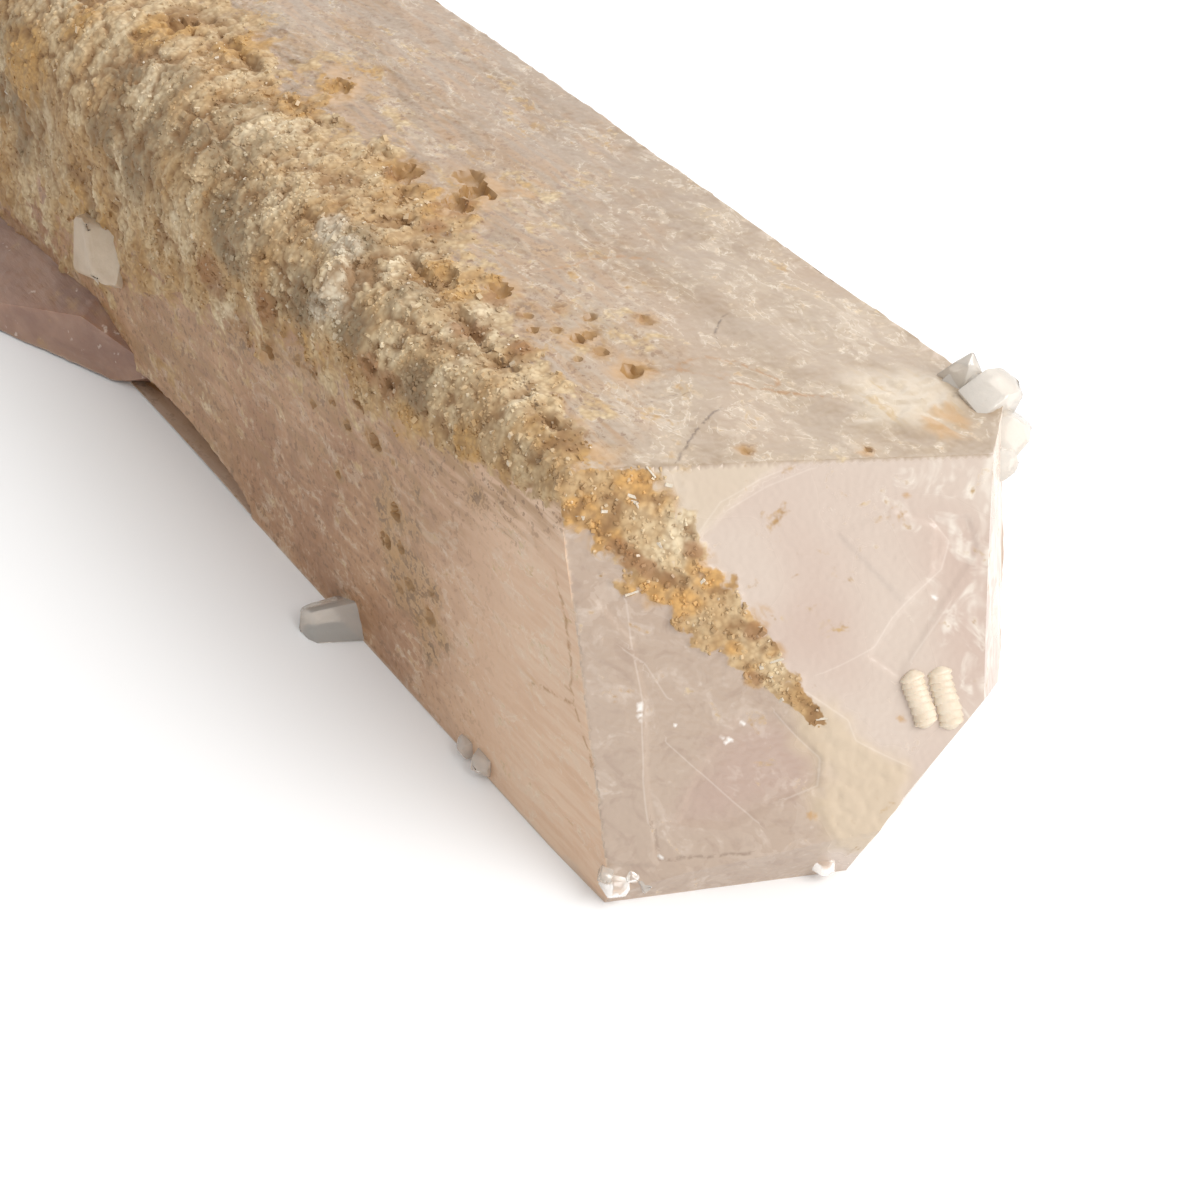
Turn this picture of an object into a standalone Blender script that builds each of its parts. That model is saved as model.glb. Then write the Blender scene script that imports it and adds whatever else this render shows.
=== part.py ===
"""A large danburite crystal, lying on one of its prism faces.

The crystal is a rhombic prism with a chisel-shaped termination. Its long axis runs
along X, with the termination at +X and the broken root at -X. Places on it are given
in its own section coordinates: x along the axis from the front end of the upper left
ridge, u across the top face from that ridge, and h down the left face from it. u and h
run from 0 to 1 over one prism face. Lengths are in metres.
"""

import math
from typing import NamedTuple

import bmesh
import bpy
from mathutils import Matrix, Vector, noise

MM = 0.001

# The prism
FACE_WIDTH = 24 * MM
RIDGE_ANGLE = math.radians(94.8)
BACK_LENGTH = 3.6 * FACE_WIDTH
FRONT_LENGTH = 0.8 * FACE_WIDTH
LEAN = math.cos(RIDGE_ANGLE)
HEIGHT = FACE_WIDTH * math.sin(RIDGE_ANGLE)

# The faces of the termination: each cuts x at rest + per_u * u + per_h * h, in face widths.
RIGHT_BIG_FACE = (0.0, 0.600, 0.425)
LEFT_BIG_FACE = (0.0, 0.640, 0.390)
LEFT_BEVEL_FACE = (0.0, 0.760, 0.371)
RIGHT_SLIVER_FACE = (1.235, -0.875, 0.231)
BOTTOM_BEVEL_FACE = (0.720, 0.450, -0.370)
BACK_OF_CHISEL_FACE = (1.202, -0.400, -0.400)
TERMINATION = (
    RIGHT_BIG_FACE, LEFT_BIG_FACE, LEFT_BEVEL_FACE,
    RIGHT_SLIVER_FACE, BOTTOM_BEVEL_FACE, BACK_OF_CHISEL_FACE,
)

# The clean facet on the left side behind the termination, and how deep it cuts in there
CLEAN_FACET_CORNERS = ((-0.50, 0.30), (0.11, 0.97))
CLEAN_FACET_SLOPE = 0.045

# The broken root: three breaks, given as the faces above, and how uneven they are
ROOT_BREAKS = ((-3.62, 0.16, -0.10), (-3.40, -0.34, 0.05), (-3.47, 0.05, -0.31))
ROOT_ZONE = -3.38
BREAK_SIZE = 6.5 * MM
BREAK_HEIGHT = 1.5 * MM

# The crust along the upper left ridge. Each row is x, its reach over the top face and
# its reach down the left face, in face widths.
CRUST_REACH = (
    (-3.60, 0.62, 0.98),
    (-2.10, 0.54, 0.68),
    (-1.15, 0.46, 0.34),
    (-0.50, 0.30, 0.24),
    (-0.15, 0.20, 0.14),
    (0.00, 0.15, 0.10),
)
CRUST_FRONT_FADE = 0.10
CRUST_RIM_STEEPNESS = 2.2
CRUST_GRID = 1.25 * MM
CRUST_GRID_ALONG = 1.45 * MM
CRUST_RAISE = 0.28 * MM
LUMP_HEIGHT = 0.85 * MM
LUMP_SIZE = 4.6 * MM
GRIT_HEIGHT = 0.42 * MM
GRIT_SIZE = 2.0 * MM
GRIT_OFFSET = Vector((7.3, 1.9, 4.4))
RIDGE_ROUNDING = 2.6 * MM
RIDGE_DROP = 0.75 * MM

# The line inside the crystal that the crust is raised away from, as u and h
CORE = (0.42, 0.42)

# The band of crust that runs on over the termination along its middle ridge
BAND_U_PER_H = 0.875
BAND_HALF_WIDTH = 0.085
BAND_END = 0.53
BAND_END_FADE = 0.10

# The open suture in the top face, as (x, u) points
SUTURE_ROUTE = (
    (-2.15, 0.36), (-1.72, 0.34), (-1.30, 0.41), (-0.87, 0.19), (-0.45, 0.15), (-0.10, 0.11),
)
SUTURE_DEPTH = 0.75 * MM
SUTURE_HALF_WIDTH = 1.3 * MM
SUTURE_LOWEST = 0.20

# Pits: x, u or h, radius along the face and depth in mm
TOP_PITS = (
    (-1.27, 0.405, 1.25, 0.9), (-1.09, 0.515, 1.7, 1.3), (-1.06, 0.44, 1.2, 0.9),
    (-0.78, 0.245, 1.2, 0.9), (-0.65, 0.31, 1.1, 0.8), (-0.37, 0.345, 0.9, 0.7),
    (-0.20, 0.375, 1.0, 0.8), (-1.78, 0.50, 1.4, 0.8), (-2.35, 0.31, 1.6, 0.9),
)
LEFT_PITS = (
    (-0.61, 0.50, 1.0, 0.8), (-0.63, 0.62, 1.25, 1.0), (-0.71, 0.34, 0.9, 0.7),
    (-1.26, 0.37, 1.1, 0.7), (-0.78, 0.27, 0.8, 0.6), (-0.40, 0.67, 0.8, 0.5),
)
PIT_STRETCH = 1.25
PIT_RAISE = 0.25 * MM

# The eaten-away stretch of the lower left edge: its middle and its reach in mm
EDGE_HOLLOW_PLACE = (-1.83, 0.0, 1.0)
EDGE_HOLLOW_REACH = (10.5, 1.9, 2.6)

# Growth ledges on the right face: start x, end x, first and last place down the face
RIGHT_LEDGES = ((-3.3, -0.9, 0.18, 0.40), (-2.6, 0.12, 0.58, 0.72), (-1.5, 0.25, 0.84, 0.93))
LEDGE_HEIGHT = 0.35 * MM
LEDGE_BURIED = 1.2 * MM

# The lower crystal grown along the left side at the root: the box it is cut from and its
# faces, each as a point and an outward direction, all in mm
COMPANION_LOW = (-87.0, -8.6, 0.10)
COMPANION_HIGH = (-47.5, 5.0, 8.0)
COMPANION_FACES = (
    ((-57.3, -2.0, 4.7), (-0.11, -0.30, 1.0)),
    ((-57.3, -2.0, 4.7), (0.27, -0.12, 1.0)),
    ((-60.0, -5.5, 0.0), (0.353, -0.936, 0.16)),
    ((-70.0, -8.4, 1.2), (0.0, -1.0, 0.9)),
    ((-52.8, -1.9, 0.0), (0.81, -0.59, -1.10)),
    ((-80.5, 0.0, 0.0), (-1.0, -0.2, 0.25)),
)


class Blade(NamedTuple):
    """A small danburite crystal: its place, the ways it points and widens, its size in mm."""

    name: str
    place: tuple
    axis: tuple
    side: tuple
    width: float
    depth: float
    length: float
    tip: float
    buried: float
    taper: float = 0.12
    skew: float = 0.0


# The clear crystals fused to the big one
BLADES = (
    # The shard on the right edge and the cluster at the front right corner
    Blade("edge_shard", (0.225, 0.965, 0.0), (0.05, 0.18, 1.0), (1.0, 0.0, 0.0),
          3.3, 1.5, 3.3, 2.4, 1.2, 0.10, 0.30),
    Blade("corner_high", (0.330, 0.985, 0.020), (0.12, 1.0, 0.50), (0.3, 0.0, 1.0),
          2.9, 2.2, 3.4, 1.5, 1.3),
    Blade("corner_front", (0.385, 0.990, 0.075), (0.54, 1.0, 0.17), (-0.4, 0.0, 1.0),
          2.5, 1.9, 3.0, 1.3, 1.3),
    Blade("corner_back", (0.300, 0.995, 0.110), (-0.12, 1.0, -0.11), (0.5, 0.0, 1.0),
          2.7, 2.0, 3.1, 1.3, 1.3),
    Blade("corner_low", (0.405, 0.975, 0.130), (0.42, 1.0, -0.33), (0.0, 0.2, 1.0),
          2.1, 1.6, 2.5, 1.0, 1.3),
    # Two more of that cluster, on the face that can't be seen
    Blade("right_high", (0.06, 1.0, 0.14), (0.2, 1.0, 0.3), (1.0, 0.0, 0.4),
          2.4, 1.8, 2.3, 0.9, 1.2),
    Blade("right_low", (0.20, 1.0, 0.33), (0.5, 1.0, 0.0), (0.3, 0.0, 1.0),
          2.0, 1.6, 2.0, 0.8, 1.1),
    # The rough plate over the front edge of the top face
    Blade("edge_plate", (0.405, 0.700, 0.030), (0.58, 0.80, 0.0), (0.6, 0.0, 1.0),
          2.5, 1.3, 3.9, 0.8, 0.0, 0.05, 0.10),
    # Two striated blades side by side on the right big face
    Blade("face_blade_left", (0.590, 0.650, 0.460), (0.50, 0.03, -1.0), (1.0, -0.6, 0.48),
          1.7, 1.5, 3.3, 0.6, 0.0),
    Blade("face_blade_right", (0.612, 0.702, 0.455), (0.50, -0.08, -1.0), (1.0, -0.6, 0.48),
          1.8, 1.4, 2.9, 0.6, 0.0),
    # The stub and the buds along the lower left edge, near what it lies on
    Blade("left_stub", (-0.830, 0.0, 0.935), (-0.50, -1.0, 0.0), (1.0, -0.5, 0.0),
          3.0, 2.5, 5.0, 0.9, 1.7, 0.06),
    Blade("left_bud_front", (-0.165, 0.01, 0.960), (0.5, -1.0, 0.0), (0.0, 0.0, 1.0),
          1.5, 1.4, 2.3, 0.6, 1.1, 0.15),
    Blade("left_bud_back", (-0.235, 0.01, 0.965), (-0.3, -1.0, 0.0), (0.0, 0.0, 1.0),
          1.3, 1.2, 2.0, 0.5, 1.0, 0.15),
    Blade("front_bud_left", (0.350, 0.025, 0.942), (1.0, -0.20, 0.0), (0.0, 0.3, 1.0),
          1.9, 1.5, 2.8, 0.6, 1.1, 0.15),
    Blade("front_bud_right", (0.372, 0.095, 0.950), (1.0, 0.12, -0.05), (0.0, -0.3, 1.0),
          1.5, 1.3, 2.0, 0.5, 1.0, 0.15),
    Blade("bottom_bud", (0.570, 0.470, 0.955), (1.0, 0.1, 0.0), (0.0, 1.0, 0.0),
          1.3, 1.0, 1.7, 0.5, 0.8, 0.20),
    # The squarish white crystal on the left side, and two lumps standing in the crust
    Blade("white_crystal", (-2.310, 0.0, 0.600), (0.0, -1.0, 0.15), (0.5, 0.0, 1.0),
          4.3, 3.7, 2.8, 0.5, 1.3, 0.08),
    Blade("crust_lump_back", (-1.720, 0.03, 0.0), (0.3, -0.2, 1.0), (1.0, 0.4, 0.0),
          2.8, 2.2, 2.5, 1.0, 1.5, 0.15),
    Blade("crust_lump_front", (-0.980, 0.05, 0.0), (-0.1, -0.2, 1.0), (1.0, 0.4, 0.0),
          2.4, 1.9, 2.2, 0.8, 1.3, 0.15),
)

STONE_COLOUR = (0.72, 0.58, 0.49, 1.0)


def mm(values):
    """A vector in metres from values in millimetres."""
    return Vector(values) * MM


def at(x, u, h):
    """The point with these section coordinates, all in face widths."""
    return Vector((x * FACE_WIDTH, (u + LEAN * h) * FACE_WIDTH, HEIGHT * (1 - h)))


def section(point):
    """The section coordinates of a point, in face widths."""
    h = 1 - point.z / HEIGHT
    return point.x / FACE_WIDTH, point.y / FACE_WIDTH - LEAN * h, h


def smooth(value):
    """0 below 0, 1 above 1, and a soft step between."""
    value = min(max(value, 0.0), 1.0)
    return value * value * (3 - 2 * value)


def along(rows, x):
    """The values that a table of rows gives at x, read as straight lines between rows."""
    if x <= rows[0][0]:
        return rows[0][1:]
    for low, high in zip(rows, rows[1:]):
        if x <= high[0]:
            share = (x - low[0]) / (high[0] - low[0])
            return tuple(a + share * (b - a) for a, b in zip(low[1:], high[1:]))
    return rows[-1][1:]


def cut(bm, point, normal):
    """Cuts a closed mesh by a plane, drops what lies on the normal's side and fills it."""
    parts = bm.verts[:] + bm.edges[:] + bm.faces[:]
    result = bmesh.ops.bisect_plane(
        bm, geom=parts, dist=1e-7, plane_co=point, plane_no=normal, clear_outer=True
    )
    rim = [e for e in result["geom_cut"] if isinstance(e, bmesh.types.BMEdge) and e.is_boundary]
    if rim:
        bmesh.ops.contextual_create(bm, geom=rim)


def slice_mesh(bm, point, normal):
    """Draws the line where a plane crosses the mesh, and keeps both sides."""
    parts = bm.verts[:] + bm.edges[:] + bm.faces[:]
    bmesh.ops.bisect_plane(bm, geom=parts, dist=1e-7, plane_co=point, plane_no=normal)


def right_normal():
    """The outward direction of the right face; the left face's is its opposite."""
    return Vector((0, 1, LEAN * FACE_WIDTH / HEIGHT)).normalized()


def end_plane(rest, per_u, per_h):
    """A point and the +X normal of the plane x = rest + per_u * u + per_h * h."""
    rise = (per_h - per_u * LEAN) * FACE_WIDTH / HEIGHT
    return at(rest, 0, 0), Vector((1, -per_u, rise)).normalized()


def prism_mesh():
    """The bare crystal: a rhombic prism cut by its end faces and by its clean facet."""
    bm = bmesh.new()
    bmesh.ops.create_cube(bm, size=1)
    length = BACK_LENGTH + FRONT_LENGTH
    for vert in bm.verts:
        x = (vert.co.x + 0.5) * length - BACK_LENGTH
        vert.co = at(x / FACE_WIDTH, vert.co.y + 0.5, 0.5 - vert.co.z)
    for face in TERMINATION:
        cut(bm, *end_plane(*face))
    for face in ROOT_BREAKS:
        point, normal = end_plane(*face)
        cut(bm, point, -normal)
    first, last = (at(x, 0, h) for x, h in CLEAN_FACET_CORNERS)
    edge = (last - first).normalized()
    outward = -right_normal()
    forward = edge.cross(outward)
    if forward.x < 0:
        forward.negate()
    cut(bm, first, (outward + forward * CLEAN_FACET_SLOPE).normalized())
    return bm


def crust_share(x, u, h):
    """How far a point is inside the crust, from 0 at its rim to 1 on the ridge."""
    over_top, down_left = along(CRUST_REACH, x)
    on_prism = 1 - max(max(u, 0.0) / over_top, max(h, 0.0) / down_left)
    band = 0.0
    if x > 0:
        aside = abs(u - BAND_U_PER_H * h) / BAND_HALF_WIDTH
        band = min(1 - aside, (BAND_END - h) / BAND_END_FADE)
        on_prism -= x / CRUST_FRONT_FADE
    return smooth(max(on_prism, band) * CRUST_RIM_STEEPNESS)


def suture_depth(x, u, h):
    """How deep the open suture cuts the top face at this place."""
    if h > SUTURE_LOWEST or x < SUTURE_ROUTE[0][0] or x > SUTURE_ROUTE[-1][0]:
        return 0.0
    (middle,) = along(SUTURE_ROUTE, x)
    aside = abs(u - middle) * FACE_WIDTH / SUTURE_HALF_WIDTH
    return SUTURE_DEPTH * smooth(1 - aside)


def relief(point):
    """How far the crust, or the uneven root, moves a point of the bare crystal."""
    x, u, h = section(point)
    if x < ROOT_ZONE:
        return Vector((noise.noise(point / BREAK_SIZE) * BREAK_HEIGHT, 0, 0))
    share = crust_share(x, u, h)
    if share <= 0:
        return Vector((0, 0, 0))
    core = at(x, *CORE)
    outward = (point - core).normalized()
    lumps = noise.noise(point / LUMP_SIZE) * LUMP_HEIGHT
    grit = noise.noise(point / GRIT_SIZE + GRIT_OFFSET) * GRIT_HEIGHT
    height = share * (CRUST_RAISE + lumps + grit) - suture_depth(x, u, h)
    from_ridge = math.hypot(max(u, 0.0), max(h, 0.0)) * FACE_WIDTH
    height -= RIDGE_DROP * smooth(1 - from_ridge / RIDGE_ROUNDING)
    return outward * height


def add_relief(bm):
    """Draws a fine grid on the crystal and raises its crust, its suture and its break."""
    for i in range(int(BACK_LENGTH / CRUST_GRID_ALONG) + 1):
        slice_mesh(bm, Vector((-i * CRUST_GRID_ALONG, 0, 0)), Vector((1, 0, 0)))
    across = right_normal()
    for i in range(1, int(FACE_WIDTH / CRUST_GRID)):
        place = i * CRUST_GRID / FACE_WIDTH
        slice_mesh(bm, at(0, place, 0), across)
        slice_mesh(bm, at(0, 0, place), Vector((0, 0, 1)))
    moves = {vert: relief(vert.co) for vert in bm.verts}
    for vert, move in moves.items():
        vert.co += move
    bmesh.ops.dissolve_limit(
        bm, angle_limit=math.radians(0.4), verts=bm.verts[:], edges=bm.edges[:]
    )
    bmesh.ops.triangulate(bm, faces=bm.faces[:])


def frame_at(origin, axis, side):
    """A placement with local Z along axis and local X as near to side as it can be."""
    z = axis.normalized()
    y = z.cross(side).normalized()
    x = y.cross(z)
    matrix = Matrix((x, y, z)).transposed().to_4x4()
    matrix.translation = origin
    return matrix


def blade_mesh(width, depth, length, tip, taper=0.0, skew=0.0):
    """A small danburite blade along Z from a buried base: a box with a chisel tip.

    tip is the height of the chisel, taper narrows the blade to its end, and skew
    moves the chisel's edge aside.
    """
    bm = bmesh.new()
    bmesh.ops.create_cube(bm, size=1)
    for vert in bm.verts:
        up = vert.co.z + 0.5
        shrink = 1 - taper * up
        vert.co = Vector((vert.co.x * width * shrink, vert.co.y * depth * shrink, up * length))
    crest = Vector((skew * width, 0, length))
    for sign in (1, -1):
        cut(bm, crest, Vector((sign * tip, 0, width / 2)).normalized())
    shoulder = Vector((0, 0, length * 0.98))
    for sign in (1, -1):
        cut(bm, shoulder, Vector((0.2 * sign * depth, sign * tip * 0.8, depth)).normalized())
    bmesh.ops.recalc_face_normals(bm, faces=bm.faces[:])
    return bm


def companion_mesh():
    """The lower crystal grown along the left side at the root, with its own tip."""
    bm = bmesh.new()
    bmesh.ops.create_cube(bm, size=1)
    low, high = mm(COMPANION_LOW), mm(COMPANION_HIGH)
    for vert in bm.verts:
        share = vert.co + Vector((0.5, 0.5, 0.5))
        vert.co = Vector(low[i] + share[i] * (high[i] - low[i]) for i in range(3))
    for point, outward in COMPANION_FACES:
        cut(bm, mm(point), Vector(outward).normalized())
    bmesh.ops.recalc_face_normals(bm, faces=bm.faces[:])
    return bm


def ball_mesh(reach, subdivisions=1):
    """A low-sided ball with its own reach along each axis."""
    bm = bmesh.new()
    bmesh.ops.create_icosphere(bm, subdivisions=subdivisions, radius=1)
    for vert in bm.verts:
        vert.co = Vector(a * b for a, b in zip(vert.co, reach))
    return bm


def ledge_mesh(start, end, top, bottom):
    """A thin growth plate on the right face, mostly buried in the crystal."""
    bm = bmesh.new()
    bmesh.ops.create_cube(bm, size=1)
    inner = 1 - LEDGE_BURIED / FACE_WIDTH
    outer = 1 + LEDGE_HEIGHT / FACE_WIDTH
    for vert in bm.verts:
        x = start if vert.co.x < 0 else end
        h = top if vert.co.z > 0 else bottom
        u = inner if vert.co.y < 0 else outer
        vert.co = at(x, u, h)
    tip = at(end, 1, (top + bottom) / 2)
    for sign in (1, -1):
        cut(bm, tip, Vector((1.0, 0.15, sign * 1.2)).normalized())
    cut(bm, at(start, 1, bottom), Vector((-1.0, 0.0, -0.8)).normalized())
    cut(bm, at(start, outer, top), (right_normal() + Vector((0, 0, 0.9))).normalized())
    bmesh.ops.recalc_face_normals(bm, faces=bm.faces[:])
    return bm


def new_object(name, bm, collection, matrix=None):
    """Puts a finished bmesh into an object of its own."""
    if matrix is not None:
        bm.transform(matrix)
    mesh = bpy.data.meshes.new(name)
    bm.to_mesh(mesh)
    bm.free()
    item = bpy.data.objects.new(name, mesh)
    collection.objects.link(item)
    return item


def small_crystals():
    """The clear crystals fused to the big one, as meshes with their placements."""
    pieces = []
    for blade in BLADES:
        size = (blade.width * MM, blade.depth * MM, blade.length * MM, blade.tip * MM)
        axis = Vector(blade.axis).normalized()
        origin = at(*blade.place) - axis * blade.buried * MM
        matrix = frame_at(origin, axis, Vector(blade.side))
        pieces.append((blade.name, blade_mesh(*size, blade.taper, blade.skew), matrix))
    return pieces


def hollows():
    """The cutters for the pits and for the eaten edge, as meshes with their placements."""
    cutters = []
    up = Vector((0, 0, 1))
    for i, (x, u, radius, depth) in enumerate(TOP_PITS):
        matrix = frame_at(at(x, u, 0) + up * PIT_RAISE, up, Vector((1, 0.2, 0)))
        pit = ball_mesh(mm((radius * PIT_STRETCH, radius, depth)))
        cutters.append((f"top_pit_{i}", pit, matrix))
    for i, (x, h, radius, depth) in enumerate(LEFT_PITS):
        matrix = frame_at(at(x, 0, h), -right_normal(), Vector((1, 0, 0.3)))
        pit = ball_mesh(mm((radius * PIT_STRETCH, radius, depth)))
        cutters.append((f"left_pit_{i}", pit, matrix))
    hollow = ball_mesh(mm(EDGE_HOLLOW_REACH), subdivisions=2)
    cutters.append(("edge_hollow", hollow, Matrix.Translation(at(*EDGE_HOLLOW_PLACE))))
    return cutters


def apply_boolean(body, cutter, operation):
    """Joins a cutter to the body, or cuts it away, and keeps the result as a mesh."""
    modifier = body.modifiers.new(cutter.name, "BOOLEAN")
    modifier.operation = operation
    modifier.object = cutter
    modifier.solver = "EXACT"
    depsgraph = bpy.context.evaluated_depsgraph_get()
    result = bpy.data.meshes.new_from_object(body.evaluated_get(depsgraph))
    body.modifiers.remove(modifier)
    body.data = result


def clean(body):
    """Merges what the joins left doubled and closes the mesh's small slivers."""
    bm = bmesh.new()
    bm.from_mesh(body.data)
    bmesh.ops.remove_doubles(bm, verts=bm.verts[:], dist=0.004 * MM)
    bmesh.ops.dissolve_degenerate(bm, dist=0.002 * MM, edges=bm.edges[:])
    bmesh.ops.triangulate(bm, faces=[f for f in bm.faces if len(f.verts) > 3])
    bm.to_mesh(body.data)
    bm.free()


def centre(body):
    """Moves the mesh so that the origin is under the middle of its box, at its base."""
    points = [v.co for v in body.data.vertices]
    low = Vector(min(p[i] for p in points) for i in range(3))
    high = Vector(max(p[i] for p in points) for i in range(3))
    body.data.transform(Matrix.Translation((-(low.x + high.x) / 2, -(low.y + high.y) / 2, -low.z)))


def stone_material():
    material = bpy.data.materials.new("danburite")
    material.use_nodes = True
    shader = material.node_tree.nodes["Principled BSDF"]
    shader.inputs["Base Color"].default_value = STONE_COLOUR
    shader.inputs["Roughness"].default_value = 0.4
    shader.inputs["Metallic"].default_value = 0.0
    return material


def main():
    for item in list(bpy.data.objects):
        bpy.data.objects.remove(item, do_unlink=True)
    stone = bpy.data.collections.new("danburite")
    cutters = bpy.data.collections.new("danburite_cutters")
    for collection in (stone, cutters):
        bpy.context.scene.collection.children.link(collection)

    bm = prism_mesh()
    add_relief(bm)
    bmesh.ops.recalc_face_normals(bm, faces=bm.faces[:])
    body = new_object("danburite_crystal", bm, stone)

    joined = [("companion", companion_mesh(), None)]
    joined += [(f"right_ledge_{i}", ledge_mesh(*row), None) for i, row in enumerate(RIGHT_LEDGES)]
    joined += small_crystals()
    for operation, pieces in (("DIFFERENCE", hollows()), ("UNION", joined)):
        for label, mesh, matrix in pieces:
            tool = new_object(label, mesh, cutters, matrix)
            tool.hide_render = True
            tool.display_type = "WIRE"
            apply_boolean(body, tool, operation)
    clean(body)
    centre(body)
    body.data.materials.clear()
    body.data.materials.append(stone_material())
    body.data.shade_flat()


main()
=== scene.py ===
"""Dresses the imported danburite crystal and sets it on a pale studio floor.

Places on the crystal are given in its own section coordinates, in widths of one prism
face: x along the axis from the front end of the upper left ridge, u across the top face
from that ridge, and h down the left face from it. Lengths are in metres.
"""

import math
from types import SimpleNamespace

import bmesh
import bpy
import numpy as np
from bpy.props import FloatProperty, FloatVectorProperty, IntProperty, PointerProperty
from mathutils import Matrix, Vector, noise


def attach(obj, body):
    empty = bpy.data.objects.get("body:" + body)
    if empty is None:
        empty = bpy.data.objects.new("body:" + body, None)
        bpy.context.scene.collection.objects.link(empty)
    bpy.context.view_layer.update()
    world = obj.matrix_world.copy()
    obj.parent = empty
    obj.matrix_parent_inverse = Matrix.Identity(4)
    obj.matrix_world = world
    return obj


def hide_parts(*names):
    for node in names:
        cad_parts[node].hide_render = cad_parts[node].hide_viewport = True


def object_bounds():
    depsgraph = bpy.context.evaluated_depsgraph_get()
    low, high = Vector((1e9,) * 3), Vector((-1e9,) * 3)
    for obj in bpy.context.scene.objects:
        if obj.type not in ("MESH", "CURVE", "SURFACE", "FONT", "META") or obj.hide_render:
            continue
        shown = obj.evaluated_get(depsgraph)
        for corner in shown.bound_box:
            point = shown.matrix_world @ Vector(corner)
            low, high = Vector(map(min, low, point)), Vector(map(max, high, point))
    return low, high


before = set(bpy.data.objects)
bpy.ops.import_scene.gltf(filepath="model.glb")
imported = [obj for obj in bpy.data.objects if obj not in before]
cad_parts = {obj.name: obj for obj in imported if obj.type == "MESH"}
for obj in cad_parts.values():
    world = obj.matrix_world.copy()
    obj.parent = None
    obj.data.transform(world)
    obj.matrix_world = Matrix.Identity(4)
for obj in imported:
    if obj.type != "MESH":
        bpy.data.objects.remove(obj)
CAD_LOW, CAD_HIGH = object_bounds()

bl_info = {
    "name": "Danburite Crystal",
    "version": (1, 0, 0),
    "blender": (4, 5, 0),
    "location": "View3D > Sidebar > Danburite",
    "description": "Builds a rough danburite with its crust and its small clear crystals",
    "category": "Add Mesh",
}

MM = 0.001
NODE = "danburite_crystal"
BODY = "crystal_body"
COMPANION = "companion_crystal"
BOX_MARGIN = 0.01 * MM

# Danburite's refraction, and how sharp an edge has to be to stay sharp when shaded
GEM_IOR = 1.63
SHARP_ANGLE = math.radians(32.0)

# The prism: the width of one face, the angle at the upper left ridge, and its ends
FACE_WIDTH = 24 * MM
RIDGE_ANGLE = math.radians(94.8)
BACK_LENGTH = 3.6
FRONT_LENGTH = 0.8
LEAN = math.cos(RIDGE_ANGLE)
HEIGHT = FACE_WIDTH * math.sin(RIDGE_ANGLE)

# The faces of the termination: each cuts x at rest + per_u * u + per_h * h
BOTTOM_BEVEL = (0.720, 0.450, -0.370)
BACK_OF_CHISEL = (1.202, -0.400, -0.400)
TERMINATION = (
    (0.0, 0.600, 0.425), (0.0, 0.640, 0.390), (0.0, 0.760, 0.371),
    (1.235, -0.875, 0.231), BOTTOM_BEVEL, BACK_OF_CHISEL,
)
ROOT_BREAKS = ((-3.62, 0.16, -0.10), (-3.40, -0.34, 0.05), (-3.47, 0.05, -0.31))
CLEAN_FACET_CORNERS = ((-0.50, 0.30), (0.11, 0.97))
CLEAN_FACET_SLOPE = 0.045

# The crust: how far it reaches over the top and down the left at each x
CRUST_X = (-3.60, -2.10, -1.15, -0.50, -0.15, 0.00)
CRUST_OVER_TOP = (0.62, 0.54, 0.46, 0.30, 0.20, 0.15)
CRUST_DOWN_LEFT = (0.98, 0.68, 0.34, 0.24, 0.14, 0.10)
CRUST_FRONT_FADE = 0.10

# The band of crust over the end: its middle and half width at each h
BAND_H = (0.0, 0.08, 0.16, 0.26, 0.36, 0.46, 0.53, 0.57)
BAND_MIDDLE = (0.090, 0.125, 0.165, 0.225, 0.305, 0.375, 0.425, 0.450)
BAND_HALF = (0.150, 0.135, 0.115, 0.100, 0.085, 0.065, 0.035, 0.010)

# The open suture along the top, and pits as x, u or h, radius and depth in mm; the ridge's
# rounding, and lumps on it as x, radius and height in mm
SUTURE_X = (-2.60, -2.15, -1.72, -1.30, -0.87, -0.45, -0.10)
SUTURE_U = (0.42, 0.36, 0.34, 0.41, 0.19, 0.15, 0.11)
TOP_PITS = (
    (-1.27, 0.405, 0.85, 0.7), (-1.09, 0.515, 0.95, 1.2), (-1.15, 0.53, 0.8, 0.6),
    (-1.06, 0.44, 0.7, 0.7), (-0.78, 0.245, 0.65, 0.7), (-0.74, 0.215, 0.55, 0.5),
    (-0.65, 0.31, 0.6, 0.6), (-0.37, 0.345, 0.4, 0.5), (-0.43, 0.325, 0.3, 0.3),
    (-0.2, 0.375, 0.5, 0.6), (-0.464, 0.279, 0.28, 0.3), (-0.366, 0.372, 0.34, 0.4),
    (-0.294, 0.36, 0.32, 0.35), (-0.351, 0.522, 0.4, 0.25), (-0.414, 0.219, 0.3, 0.3),
    (-1.78, 0.5, 0.9, 0.6), (-1.72, 0.34, 0.7, 0.5), (-2.35, 0.31, 1.1, 0.7), (-0.52, 0.3, 0.28, 0.3),
    (0.199, 0.4, 0.22, 0.2), (0.344, 0.624, 0.2, 0.2), (-0.43, 0.42, 0.26, 0.3), (-0.3, 0.3, 0.24, 0.3),
)
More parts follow.
